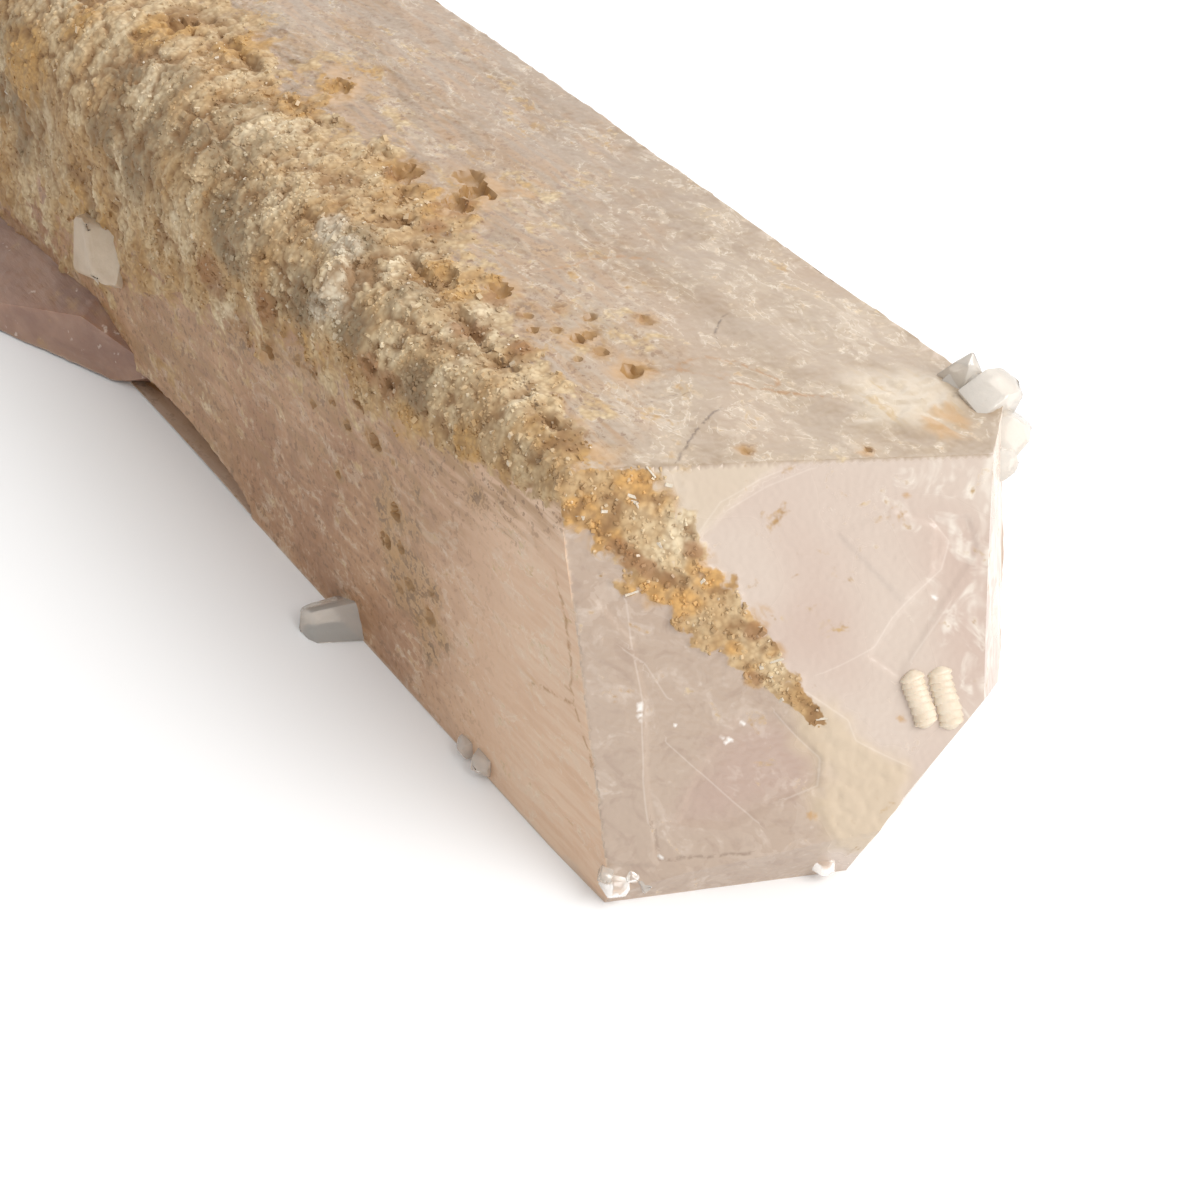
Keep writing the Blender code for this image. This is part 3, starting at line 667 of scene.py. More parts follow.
def arrays(mesh):
    """The points and the outward directions of a mesh."""
    points = np.empty(len(mesh.vertices) * 3)
    mesh.vertices.foreach_get("co", points)
    normals = np.empty(len(mesh.vertices) * 3)
    mesh.vertex_normals.foreach_get("vector", normals)
    return points.reshape(-1, 3), normals.reshape(-1, 3)


def store(mesh, name, values):
    """Keeps a value for each point as an attribute for the materials."""
    attribute = mesh.attributes.new(name, "FLOAT", "POINT")
    attribute.data.foreach_set("value", np.asarray(values, np.float32))


def kept(mesh, name):
    """The values that store() kept."""
    values = np.empty(len(mesh.vertices), np.float32)
    mesh.attributes[name].data.foreach_get("value", values)
    return values


def settle(mesh, points):
    """Moves a mesh's points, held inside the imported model's box."""
    low = np.array(CAD_LOW) + BOX_MARGIN * np.array((1, 1, 0))
    held = np.clip(points, low, np.array(CAD_HIGH) - BOX_MARGIN)
    mesh.vertices.foreach_set("co", held.ravel())


def finish_piece(name, mesh, material):
    """Makes a shaded piece of a mesh and a material, hangs it under the root body and hides the
    imported crystal.
    """
    mesh.materials.clear()
    mesh.materials.append(material)
    mesh.shade_smooth()
    mesh.set_sharp_from_angle(angle=SHARP_ANGLE)
    piece = new_piece(name, mesh)
    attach(piece, "root")
    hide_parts(NODE)


# Relief of the body


def facing(normals):
    """How far each point belongs to the top, the left, the end, the right and the root."""
    right = np.array(right_normal())
    top = smooth((normals[:, 2] - 0.55) * 4)
    left = smooth((-normals @ right - 0.55) * 4)
    end = smooth((normals[:, 0] - 0.45) * 4)
    side = smooth((normals @ right - 0.55) * 4)
    root = smooth((-normals[:, 0] - 0.45) * 4)
    return top, left, end, side, root


def crust_cover(x, u, h, end, ragged):
    """How far each place is inside the crust, in its band on the end and in its stain."""
    over = np.interp(x, CRUST_X, CRUST_OVER_TOP)
    down = np.interp(x, CRUST_X, CRUST_DOWN_LEFT)
    inside = 1 - np.maximum(np.maximum(u, 0) / over, np.maximum(h, 0) / down)
    inside = inside - np.maximum(x, 0) / CRUST_FRONT_FADE
    half = np.interp(h, BAND_H, BAND_HALF)
    aside = np.abs(u - np.interp(h, BAND_H, BAND_MIDDLE)) / half
    band = np.where((end > 0.1) & (h < BAND_H[-1]), 1 - aside, -1.0)
    halo = smooth(1.0 + inside * 0.6 + 1.2 * ragged)
    inside = np.maximum(inside + ragged, band + 1.5 * ragged)
    return smooth(inside * 2.0 + 0.15), smooth(band * 2 + ragged + 0.2), halo


def pit_depth(a, b, pits, ragged):
    """The depth of irregular pits at each place, and how near to one it is."""
    depth = np.zeros(len(a))
    near = np.zeros(len(a))
    for pit_a, pit_b, radius, deep in pits:
        wide = radius * MM / FACE_WIDTH
        far = np.hypot((a - pit_a) / 1.25, b - pit_b) / wide + ragged
        depth = np.maximum(depth, deep * MM * np.sqrt(np.clip(1 - far * np.abs(far), 0, 1)))
        near = np.maximum(near, smooth((2.1 - far) / 1.3))
    return depth, near


def route_distance(a, b, routes, reach=0.6):
    """The signed distance in mm to the nearest of some drawn lines, and the nearness to it."""
    best = np.full(len(a), 1.0)
    side = np.ones(len(a))
    for route in routes:
        for (a0, b0), (a1, b1) in zip(route, route[1:]):
            da, db = a1 - a0, b1 - b0
            share = np.clip(((a - a0) * da + (b - b0) * db) / (da * da + db * db), 0, 1)
            gap_a, gap_b = a - a0 - share * da, b - b0 - share * db
            gap = np.hypot(gap_a, gap_b)
            side = np.where(gap < best, np.where(da * gap_b < db * gap_a, -1, 1), side)
            best = np.minimum(best, gap)
    best *= FACE_WIDTH / MM
    return np.minimum(best, reach) * side, smooth(1.7 - best / 0.35)


def panel_depth(a, b, corners):
    """The distance in mm inside a polygon's rim, below 0 outside it."""
    inside = np.zeros(len(a), bool)
    loop = corners + corners[:1]
    for (a0, b0), (a1, b1) in zip(loop, loop[1:]):
        rise = b1 - b0 or 1e-9
        inside ^= ((b0 > b) != (b1 > b)) & (a < a0 + (b - b0) * (a1 - a0) / rise)
    gap = np.abs(route_distance(a, b, (loop,), 3.0)[0])
    return np.where(inside, gap, -gap)


def hollow_depth(points, normals):
    """How far the eaten lower left edge lies inside the bare prism."""
    reach = np.array(EDGE_HOLLOW_REACH) * MM
    away = (points - np.array(at(*EDGE_HOLLOW_PLACE))) / reach
    way = -normals / reach
    a = (way ** 2).sum(1)
    b = (way * away).sum(1)
    c = (away ** 2).sum(1) - 1
    root = np.sqrt(np.maximum(b * b - a * c, 0))
    return np.where(c < 0, np.clip((-b + root) / a, 0, EDGE_HOLLOW_MOST * MM), 0)


def terraces(field):
    """Turns smooth noise into flat steps with short slopes between them."""
    floor = np.floor(field)
    return floor + smooth((field - floor - 0.5) * 5 + 0.5)


def domes(points, size, offset):
    """Round knobs of this size, from 0 between them to 1 on top."""
    far = np.array([noise.voronoi(p)[0][0] for p in (points / size + offset).tolist()])
    return np.sqrt(np.clip(1 - 1.7 * far ** 2, 0, 1))


def shape_body(mesh, shape):
    """Raises the crust, cuts the pits and gives each face its growth relief."""
    points, normals = arrays(mesh)
    x, u, h = section(points)
    top, left, end, side, root = facing(normals)
    rough = waves(points, 2.6 * MM, 3.1)
    fine = waves(points, 0.9 * MM, 8.2)
    small = waves(points, 0.45 * MM, 6.6)
    ragged = 0.28 * rough + 0.20 * fine + 0.10 * small
    cover, band, halo = crust_cover(x, u, h, end, ragged)
    cover *= 1 - root

    lumps = waves(points, shape.lump_size, stretch=(1.0, 1.6, 1.6))
    knobs = domes(points, shape.knob_size, 5.0) - 0.6
    grains = domes(points, 0.62 * MM, 2.0) - 0.6
    relief = cover * (shape.crust_raise + lumps * shape.lump_height + knobs * shape.knob_height
                      + grains * 0.18 * MM + fine * 0.16 * MM + small * 0.14 * MM)
    relief *= (1 - 0.55 * band * end) * (1 - 0.35 * smooth(x * 1.5 + 1.6))

    middle = np.interp(x, SUTURE_X, SUTURE_U) + 0.020 * rough + 0.012 * fine
    aside = np.abs(u - middle) * FACE_WIDTH
    open_part = (x > SUTURE_X[0]) & (x < SUTURE_X[-1]) & (top > 0.3)
    broken = smooth(0.42 + 1.4 * fine + 1.5 * rough)
    crack = np.where(open_part, smooth(1 - aside / (0.75 * MM)), 0) * broken
    relief -= crack * shape.suture_depth
    from_ridge = np.hypot(np.maximum(u, 0), np.maximum(h, 0)) * FACE_WIDTH
    radius = np.interp(x, ROUNDING_X, ROUNDING_RADIUS) * MM * smooth(1 - x / 0.08)
    gap = np.minimum(from_ridge - radius, 0)
    drop = (radius - gap - np.sqrt(np.maximum((radius - gap) ** 2 - 2 * gap ** 2, 0))) / 2
    inward = drop[:, None] * (np.array(right_normal()) - np.array((0.0, 0.0, 1.0)))
    off_plate = np.hypot((x - PLATE_X) / PLATE_LONG, (u - PLATE_U) / PLATE_WIDE)
    plate = smooth(1.5 - off_plate + 0.7 * rough)
    plate *= np.maximum(top, end * smooth(1 - h / 0.05))
    relief += plate * (0.20 + 0.16 * fine + 0.12 * small) * MM
    for lump_x, wide, high in CRUST_LUMPS:
        far = np.hypot((x - lump_x) * 0.8, from_ridge / FACE_WIDTH) * FACE_WIDTH / (wide * MM)
        relief += smooth(1.3 - far + 0.4 * fine) * high * MM

    uneven = 0.5 * fine + 0.5 * small
    pits_top, near_top = pit_depth(x, u, TOP_PITS, uneven)
    pits_left, near_left = pit_depth(x, h, LEFT_PITS, uneven + 0.5 * small)
    relief -= 0.8 * pits_top * (top > 0.3) + pits_left * (left > 0.3)
    pit = np.maximum(near_top * top, near_left * left)

    clean = 1 - cover
    steps = waves(points, 3.4 * MM, 9.0, (2.2, 1.0, 1.0)) * 5 + 0.5 * fine + 0.25 * small
    lines = waves(points, 0.55 * MM, 4.0, (14.0, 1.0, 1.0))
    layered = terraces(steps) * 0.035 * MM
    relief += clean * top * (layered + small * 0.012 * MM + fine * 0.03 * MM)
    relief += clean * left * (layered * 0.8 + lines * 0.030 * MM + fine * 0.025 * MM)
    relief += clean * side * (layered + lines * 0.045 * MM)
    panels = [panel_depth(u, h, corners) for _, corners in END_PANELS]
    for (out, _), inside in zip(END_PANELS, panels):
        relief += clean * end * smooth(0.5 + inside / 0.22) * out * MM
    relief += clean * end * (waves(points, 7.5 * MM, 6.0) * 0.10 + fine * 0.008) * MM
    upright = waves(points, 0.6 * MM, 4.0, (1.0, 1.0, 12.0))
    relief += end * smooth(normals[:, 1] * 4 - 1) * upright * 0.07 * MM
    # Painted glints on the end
    painted_glint = stains(u, h, END_PAINTED_GLINTS, 0.8 * small) * end
    cream = smooth(0.6 + panels[CREAM_PANEL] / 1.8 + 0.5 * rough + 0.3 * fine) * end
    relief += cream * (grains * 0.08 + fine * 0.06) * MM
    for start, stop, high, low in RIGHT_LEDGES:
        on = smooth((x - start) * 8) * smooth((stop - x) * 8)
        on = on * smooth((h - high) * 40) * smooth((low - h) * 40)
        relief += side * on * RIGHT_LEDGE_HEIGHT * MM
    hackly = np.abs(waves(points, 2.4 * MM, 5.5)) - 0.25
    relief += root * (waves(points, 6.5 * MM, 0.5) * 1.2 * MM + hackly * 0.7 * MM)
    relief -= hollow_depth(points, normals)

    # Where faces round into each other: it sinks the clean edges a little and is kept as a painted edge
    # highlight
    sharp = smooth(2.5 * (0.95 - np.maximum.reduce([top, left, end, side])))
    relief -= clean * sharp * np.clip(0.07 + 0.16 * fine + 0.08 * small, 0, 1) * MM
    below = normals[:, 2] < -0.6
    relief = np.where(below, np.minimum(relief, 0) * 0.1, relief)
    settle(mesh, points + normals * relief[:, None] + inward)

    places, faces = ((x, u), (x, h), (u, h)), (top, left, end)
    ochre = stained(places, faces, (OCHRE_ON_TOP, OCHRE_ON_LEFT, OCHRE_ON_END), uneven)
    soil = stained(places, faces, (SOIL_ON_TOP, SOIL_ON_LEFT, SOIL_ON_END), uneven)
    grey = stained(places, faces, (GREY_ON_TOP, GREY_ON_LEFT), rough)
    bright = stained(places, faces, (BRIGHT_ON_TOP, BRIGHT_ON_LEFT), rough)
    dark = stains(x, h, BROWN_ON_LEFT, rough) * left
    height = lumps * 0.4 + knobs * 0.9 + grains * 0.5 + small * 0.5
    # Low places of the crust and the open suture, where the colour is darkened as painted shade
    hollow = np.maximum(smooth(0.22 - height * 1.3) * cover, crack)
    on_top, on_left = top > 0.5, left > 0.5
    pale = route_distance(u, h, PALE_END_LINES)
    rust = [np.where(on_top, a, b) for a, b in zip(
        route_distance(x, u, OCHRE_TOP_LINES), route_distance(x, h, OCHRE_LEFT_LINES))]
    seam = [np.where(on_top, a, b) for a, b in zip(
        route_distance(x, u, DARK_TOP_LINES), route_distance(u, h, DARK_END_LINES))]
    ledge = smooth(0.5 + panels[0] / 0.8) * end
    pink = smooth(0.45 + panels[DEEP_PINK_PANEL] / 2.2 + 0.3 * rough) * end
    lower = smooth((np.interp(h, BAND_H, BAND_MIDDLE) - u) * 25 + 0.5) * end
    for name, values in (
        ("crust", cover), ("band", band * end), ("ochre", ochre), ("grey", grey),
        ("tint", bright - dark), ("hollow", hollow), ("pit", pit), ("top", top), ("left", left),
        ("end", end), ("steps", steps), ("cream", cream), ("edge", sharp), ("plate", plate),
        ("soil", soil), ("halo", halo * (1 - end)), ("painted_glint", painted_glint), ("ledge", ledge),
        ("keep", np.maximum(end, pit * 2)), ("pink", pink), ("lower", lower),
        ("pale_side", pale[0]), ("pale_near", pale[1] * (end > 0.5)),
        ("rust_side", rust[0]), ("rust_near", rust[1] * (on_top | on_left)),
        ("seam_side", seam[0]), ("seam_near", seam[1] * (on_top | (end > 0.5))),
    ):
        store(mesh, name, values)
    mesh.update()


def fewer(mesh, name, most, keep=""):
    """The same mesh with at most this many triangles, all kept where an attribute is set."""
    piece = new_piece(name, mesh)
    count = sum(len(p.vertices) - 2 for p in mesh.polygons)
    piece.modifiers.new("triangles", "TRIANGULATE")
    if count > most:
        decimate = piece.modifiers.new("fewer", "DECIMATE")
        decimate.ratio = most / count
        if keep:
            group = piece.vertex_groups.new(name="free")
            group.add(np.flatnonzero(kept(mesh, keep) < 0.5).tolist(), 1.0, "REPLACE")
            decimate.vertex_group = group.name
    result = plain(piece)
    bpy.data.objects.remove(piece)
    return result


# Node trees


class Nodes:
    """Adds and joins the nodes of one tree."""

    def __init__(self, tree):
        self.tree = tree

    def add(self, kind, inputs=(), **settings):
        """A node with these settings; inputs are (socket name or index, value or socket)."""
        node = self.tree.nodes.new(kind)
        for key, value in settings.items():
            setattr(node, key, value)
        for key, value in inputs:
            self.feed(node.inputs[key], value)
        return node

    def feed(self, socket, value):
        """Joins a socket to another, or sets its value."""
        if isinstance(value, bpy.types.NodeSocket):
            self.tree.links.new(value, socket)
        elif value is not None:
            socket.default_value = value

    def math(self, operation, a, b=None, c=None, clamp=False):
        """The result of one operation on numbers."""
        node = self.add("ShaderNodeMath", operation=operation, use_clamp=clamp)
        for socket, value in zip(node.inputs, (a, b, c)):
            self.feed(socket, value)
        return node.outputs[0]

    def times(self, *values):
        """The product of these numbers."""
        product = values[0]
        for value in values[1:]:
            product = self.math("MULTIPLY", product, value)
        return product

    def without(self, value, clamp=True):
        """What is left of 1 after this number."""
        return self.math("SUBTRACT", 1.0, value, clamp=clamp)

    def vector(self, operation, a, b):
        """The result of one operation on vectors; b is the factor for SCALE."""
        node = self.add("ShaderNodeVectorMath", operation=operation)
        self.feed(node.inputs[0], a)
        self.feed(node.inputs["Scale" if operation == "SCALE" else 1], b)
        return node.outputs[0]

    def stretched(self, place, stretch):
        """A place whose textures are drawn out this far along X, Y and Z."""
        return self.vector("MULTIPLY", place, tuple(1 / s for s in stretch))

    def mix(self, share, a, b):
        """A colour between a and b."""
        node = self.add("ShaderNodeMix", data_type="RGBA")
        self.feed(node.inputs[0], share)
        for socket, value in ((node.inputs[6], a), (node.inputs[7], b)):
            self.feed(socket, (*value, 1) if isinstance(value, tuple) else value)
        return node.outputs[2]

    def layers(self, colour, *rows):
        """A colour under others; each row is a 0 to 255 colour and the shares it is laid on by."""
        for shade, *shares in rows:
            colour = self.mix(self.times(*shares), colour, tone(*shade))
        return colour

    def blend(self, share, a, b):
        """A number between a and b."""
        node = self.add("ShaderNodeMix", data_type="FLOAT")
        for socket, value in zip(node.inputs[:1] + node.inputs[2:4], (share, a, b)):
            self.feed(socket, value)
        return node.outputs[0]

    def step(self, value, low, high):
        """0 where value is below low, 1 above high, and a soft step between."""
        node = self.add("ShaderNodeMapRange", interpolation_type="SMOOTHSTEP")
        for socket, number in zip(node.inputs, (value, low, high)):
            self.feed(socket, number)
        return node.outputs[0]

    def noise(self, place, size, detail, rough=0.5, warp=0.0):
        """Noise from 0 to 1 with features of this size."""
        return self.add("ShaderNodeTexNoise", (
            ("Vector", place), ("Scale", 1 / size), ("Detail", detail), ("Roughness", rough),
            ("Distortion", warp))).outputs[0]

    def value(self, name):
        """One of the values kept with the mesh."""
        return self.add("ShaderNodeAttribute", attribute_name=name).outputs["Fac"]

    def bump(self, shader, height, strength, distance):
        """Gives a shader the fine relief of this height field."""
        bump = self.add("ShaderNodeBump", (
            ("Height", height), ("Strength", strength), ("Distance", distance * MM)))
        self.feed(shader.inputs["Normal"], bump.outputs[0])


def new_group(name, inputs, outputs):
    """A shader node group with sockets of these names: its tree, Nodes, inputs and outputs."""
    tree = bpy.data.node_groups.new(name, "ShaderNodeTree")
    for labels, way in ((inputs, "INPUT"), (outputs, "OUTPUT")):
        for label in labels:
            kind = "NodeSocketVector" if label == "Vector" else "NodeSocketFloat"
            tree.interface.new_socket(label, in_out=way, socket_type=kind)
    source = tree.nodes.new("NodeGroupInput")
    target = tree.nodes.new("NodeGroupOutput")
    return tree, Nodes(tree), source.outputs, target.inputs


def line_group():
    """A fine line where a stored side distance crosses zero, with a shaken course."""
    tree, n, source, target = new_group("Fine Line", ("Side", "Near", "Shake", "Width"), ("Mask",))
    side, near, shake, width = source[:4]
    moved = n.math("ABSOLUTE", n.math("ADD", side, n.math("MULTIPLY_ADD", shake, 0.9, -0.45)))
    n.feed(target[0], n.times(n.without(n.math("DIVIDE", moved, width)), near))
    return tree


def grit_group():
    """The shade of crystalline grit, from 0 to 1, lowest at the rims of its cells: painted shade
    between the grains, mixed with random tone.
    """
    tree, n, source, target = new_group("Grit", ("Vector", "Size"), ("Shade",))
    place, size = source[:2]
    scale = n.math("DIVIDE", 1.0, size)
    grain = n.add("ShaderNodeTexVoronoi", (("Vector", place), ("Scale", scale)))
    soft = n.add("ShaderNodeTexNoise", (
        ("Vector", place), ("Scale", n.times(scale, 0.5)), ("Detail", 3.0), ("Roughness", 0.65)))
    height = n.math("MULTIPLY_ADD", grain.outputs["Distance"], -0.7, soft.outputs[0])
    n.feed(target[0], n.step(height, -0.15, 0.40))
    return tree


def flake_group():
    """Thin irregular flakes: their fill and their rims."""
    tree, n, source, target = new_group("Flakes", ("Vector", "Size"), ("Fill", "Rim"))
    place, size = source[:2]
    field = n.add("ShaderNodeTexNoise", (
        ("Vector", place), ("Scale", n.math("DIVIDE", 1.0, size)), ("Detail", 3.0),
        ("Roughness", 0.55), ("Distortion", 0.7))).outputs[0]
    n.feed(target[0], n.step(field, 0.53, 0.57))
    gap = n.math("ABSOLUTE", n.math("SUBTRACT", field, 0.55))
    n.feed(target[1], n.without(n.math("DIVIDE", gap, 0.015)))
    return tree


def shared_group(name, make):
    """A shader group, made the first time that it is asked for."""
    return bpy.data.node_groups.get(name) or make()


def new_material(name, values):
    """A material with these constant values: its Nodes, its shader and the object's places."""
    material = bpy.data.materials.new(name)
    material.use_nodes = True
    n = Nodes(material.node_tree)
    shader = material.node_tree.nodes["Principled BSDF"]
    for key, value in values.items():
        shader.inputs[key].default_value = value
    place = n.add("ShaderNodeTexCoord").outputs["Object"]
    return material, n, shader, place


def crust_colour(n, place, colours, shade):
    """The crust's colour from its stains, with painted shade in its hollows and browner where the given
    shade is low.
    """
    brown = tuple(colours.brown)
    patches = n.noise(n.stretched(place, (1.0, 2.0, 2.0)), 3.6 * MM, 3.0, 0.7)
    base = n.mix(n.step(patches, 0.36, 0.64), tuple(colours.tan), tuple(colours.cream))
    grey = n.times(n.value("grey"), n.step(patches, 0.68, 0.42), 0.85)
    base = n.mix(grey, base, tuple(colours.grey))
    base = n.layers(
        base,
        ((226, 210, 180), n.step(patches, 0.58, 0.70), 0.55),
        ((158, 120, 72), n.step(patches, 0.42, 0.30), 0.55))
    tint = n.value("tint")
    base = n.mix(n.math("MULTIPLY", tint, 0.8, clamp=True), base, tone(206, 194, 172))
    base = n.mix(n.math("MULTIPLY", tint, -0.25, clamp=True), base, brown)
    yellow = n.mix(n.value("band"), tuple(colours.ochre), tone(204, 157, 92))
    base = n.mix(n.times(n.value("ochre"), n.step(patches, 0.62, 0.44)), base, yellow)
    base = n.layers(base, ((146, 100, 60), n.value("soil"), 0.75))
    # Painted shade: the crust turns brown in its hollows and along the suture
    base = n.mix(n.times(n.value("hollow"), 0.85), base, brown)
    # Browner where shade is low: on the body this is the grit's painted shade between grains, on the
    # loose grains a random tone of each grain
    return n.mix(n.math("MULTIPLY_ADD", shade, -0.50, 0.50), base, brown)


def shared_fields(n, place):
    """The noises, places and kept values that the body's colours are made of."""
    along = n.stretched(place, (1.7, 1.0, 1.0))
    split = n.add("ShaderNodeSeparateXYZ", (("Vector", place),)).outputs
    x, u = (n.math("MULTIPLY_ADD", split[i], 1 / FACE_WIDTH, -SHIFT[i] / FACE_WIDTH) for i in (0, 1))
    flakes = shared_group("Flakes", flake_group)
    flake = n.add("ShaderNodeGroup", (("Vector", along), ("Size", 1.25 * MM)), node_tree=flakes)
    grit = shared_group("Grit", grit_group)
    grain = n.add("ShaderNodeGroup", (("Vector", place), ("Size", 0.34 * MM)), node_tree=grit)
    fields = SimpleNamespace(
        x=x, u=u, fill=flake.outputs["Fill"], rim=flake.outputs["Rim"], grain=grain.outputs[0],
        clouds=n.noise(place, 8.0 * MM, 1.0), mottle=n.noise(along, 1.9 * MM, 3.0, 0.62, 0.8),
        streaks=n.noise(n.stretched(place, (9.0, 1.0, 1.0)), 0.6 * MM, 2.0, 0.6),
        upright=n.noise(n.stretched(place, (1.0, 1.0, 9.0)), 0.7 * MM, 1.0, 0.6),
        fuzz=n.noise(place, 0.5 * MM, 2.0, 0.65), tooth=n.noise(place, 0.36 * MM, 0.0))
    for name in ("top", "left", "end", "lower", "halo", "soil", "plate", "crust", "cream"):
        setattr(fields, name, n.value(name))
    return fields


def end_colour(n, f, colours):
    """The pale pink of the end, with its darker, mottled lower half."""
    level = n.math("MULTIPLY_ADD", n.without(f.lower, clamp=False), f.u, f.mottle)
    return n.layers(
        n.mix(n.step(f.clouds, 0.35, 0.7), tuple(colours.end), tone(192, 170, 156)),
        ((172, 150, 131), f.lower, 0.85),
        ((208, 192, 178), f.lower, n.step(f.mottle, 0.52, 0.64), 0.24),
        ((152, 128, 112), f.lower, n.step(f.mottle, 0.46, 0.34), 0.35),
        ((204, 188, 162), n.value("ledge"), 0.5),
        ((226, 216, 203), n.step(level, 1.18, 1.36), n.step(f.upright, 0.30, 0.62), 0.8),
        ((176, 150, 136), n.value("pink"), 0.75),
        ((198, 178, 151), f.cream, 0.8),
        ((200, 182, 166), f.lower, f.fill, n.step(f.clouds, 0.35, 0.65), 0.40),
        ((222, 208, 194), f.lower, n.step(f.streaks, 0.52, 0.62), n.step(f.mottle, 0.50, 0.62), 0.18))


def top_colour(n, f, colours):
    """The beige pink of the top face, paler in front and duller at the far right."""
    return n.layers(
        n.mix(n.step(f.mottle, 0.36, 0.66), tuple(colours.top), tone(160, 135, 102)),
        ((150, 118, 86), n.step(f.clouds, 0.45, 0.7), 0.7),
        ((178, 159, 138), n.step(f.x, -1.1, 0.1), 0.55),
        ((143, 120, 95), n.step(f.u, 0.45, 0.80), n.step(f.x, -0.1, -1.4), 0.8))


def left_colour(n, f, colours):
    """The brownish pink of the left face, with painted light that makes it paler towards the front
    edge.
    """
    return n.layers(
        n.mix(n.step(f.streaks, 0.35, 0.68), tuple(colours.left), tone(176, 134, 96)),
        ((146, 100, 64), n.step(f.clouds, 0.4, 0.7), 0.6),
        ((136, 94, 60), n.step(f.mottle, 0.47, 0.34), 0.55),
        ((190, 154, 118), n.step(f.mottle, 0.55, 0.68), 0.55),
        # Painted light: the front of the left face is lightened, as if lit more than the part near the
        # root
        ((212, 176, 145), n.step(f.x, -0.65, -0.05), 0.88),
        ((224, 202, 176), n.step(f.x, -0.20, 0.06), n.step(f.streaks, 0.40, 0.62), 0.3))


def etched_colour(n, f, clean, prism):
    """Clean crystal under its growth steps, flakes, specks and soil."""
    paler = n.blend(n.step(f.mottle, 0.46, 0.60), 0.08, 0.42)
    deeper = n.blend(n.step(f.x, -0.2, -0.9), 0.04, 0.24)
    some = n.math("MULTIPLY_ADD", n.times(prism, 0.98), n.step(f.mottle, 0.44, 0.58), 0.02)
    phase = n.math("FRACT", n.math("ADD", n.value("steps"), f.fuzz))
    step = n.without(n.times(n.math("ABSOLUTE", n.math("SUBTRACT", phase, 0.5)), 14.0))
    rims = n.math("MAXIMUM", f.rim, n.times(step, prism))
    on_left = n.math("MULTIPLY_ADD", f.left, -0.15, 0.42)
    where = n.math("MAXIMUM", n.times(f.left, n.step(f.x, 0.1, -0.9)), f.halo)
    specks = n.times(n.step(f.fuzz, 0.42, 0.36), where)
    veins = n.times(f.rim, f.halo, n.step(f.fuzz, 0.40, 0.55))
    return n.layers(
        clean,
        ((208, 186, 158), n.step(f.fuzz, 0.53, 0.66), prism, paler),
        ((128, 94, 62), n.step(f.streaks, 0.46, 0.32), prism, deeper),
        ((158, 120, 76), f.halo, n.step(f.streaks, 0.60, 0.38), 0.75),
        ((206, 190, 170), f.fill, some, 0.22),
        ((232, 222, 204), rims, some, on_left, n.step(f.fuzz, 0.38, 0.52)),
        ((122, 86, 48), n.math("MAXIMUM", specks, veins), 0.75),
        # Painted highlight: paler along the prism's edges
        ((226, 212, 196), n.value("edge"), 0.22),
        ((170, 132, 84), f.soil, 0.65),
        ((112, 80, 44), f.soil, n.step(f.fuzz, 0.49, 0.57), 0.85),
        ((222, 208, 186), f.plate, 0.5),
        ((186, 160, 122), f.plate, n.step(f.streaks, 0.45, 0.30)))


def body_material(colours):
    """Milky pink danburite, satin and etched, with its crust and stains."""
    material, n, shader, place = new_material("danburite_body", {"IOR": GEM_IOR})
    f = shared_fields(n, place)
    clean = n.mix(f.left, top_colour(n, f, colours), left_colour(n, f, colours))
    clean = n.mix(f.end, clean, end_colour(n, f, colours))
    hidden = n.without(n.math("ADD", n.math("ADD", f.top, f.left), f.end))
    pale_side = n.mix(n.step(f.clouds, 0.35, 0.65), tone(198, 172, 152), tone(178, 150, 130))
    clean = n.mix(n.times(hidden, 0.85), clean, pale_side)
    prism = n.without(n.math("MULTIPLY_ADD", hidden, 0.65, f.end))
    clean = etched_colour(n, f, clean, prism)

    # Growth lines and cracks
    line = shared_group("Fine Line", line_group)
    masks = {}
    for name, shake, width in (
        ("pale", f.clouds, 0.07), ("rust", f.mottle, 0.20), ("seam", f.mottle, 0.14),
    ):
        masks[name] = n.add("ShaderNodeGroup", (
            ("Side", n.value(name + "_side")), ("Near", n.value(name + "_near")),
            ("Shake", shake), ("Width", width)), node_tree=line).outputs[0]
    broken = n.step(f.fuzz, 0.38, 0.55)
    clean = n.layers(
        clean,
        ((228, 216, 204), masks["pale"], 0.24),
        ((158, 112, 58), masks["rust"], broken, 0.8),
        # Near-white painted glints
        ((246, 242, 236), n.value("painted_glint"), 0.85),
        ((184, 142, 88), n.value("ochre"), n.step(f.mottle, 0.62, 0.44), 0.7),
        ((162, 124, 76), n.value("pit"), 0.75))

    # The crust, with a ragged rim
    # The grit's painted shade between grains darkens the crust
    crust = crust_colour(n, place, colours, f.grain)
    edge = n.math("MULTIPLY_ADD", n.math("SUBTRACT", f.mottle, 0.5), 2.1, f.crust)
    edge = n.math("MULTIPLY_ADD", f.halo, 0.20, edge)
    edge = n.math("MULTIPLY_ADD", n.math("SUBTRACT", f.fuzz, 0.5), 0.9, edge)
    covered = n.step(edge, 0.26, 0.66)
    fainter = n.math("MULTIPLY_ADD", f.end, -0.5, 0.9)
    colour = n.layers(n.mix(covered, clean, crust), ((96, 72, 48), masks["seam"], broken, fainter))
    n.feed(shader.inputs["Base Color"], colour)

    satin = n.math("MULTIPLY_ADD", prism, 0.16, n.blend(f.clouds, 0.20, 0.36))
    satin = n.math("MULTIPLY_ADD", f.lower, -0.10, satin)
    satin = n.math("MULTIPLY_ADD", f.cream, 0.18, satin)
    n.feed(shader.inputs["Roughness"], n.blend(covered, satin, 0.82))
    rough = n.math("MULTIPLY_ADD", f.crust, 0.9, 0.5)
    n.bump(shader, n.times(f.tooth, rough), 0.5, 0.12)
    return material


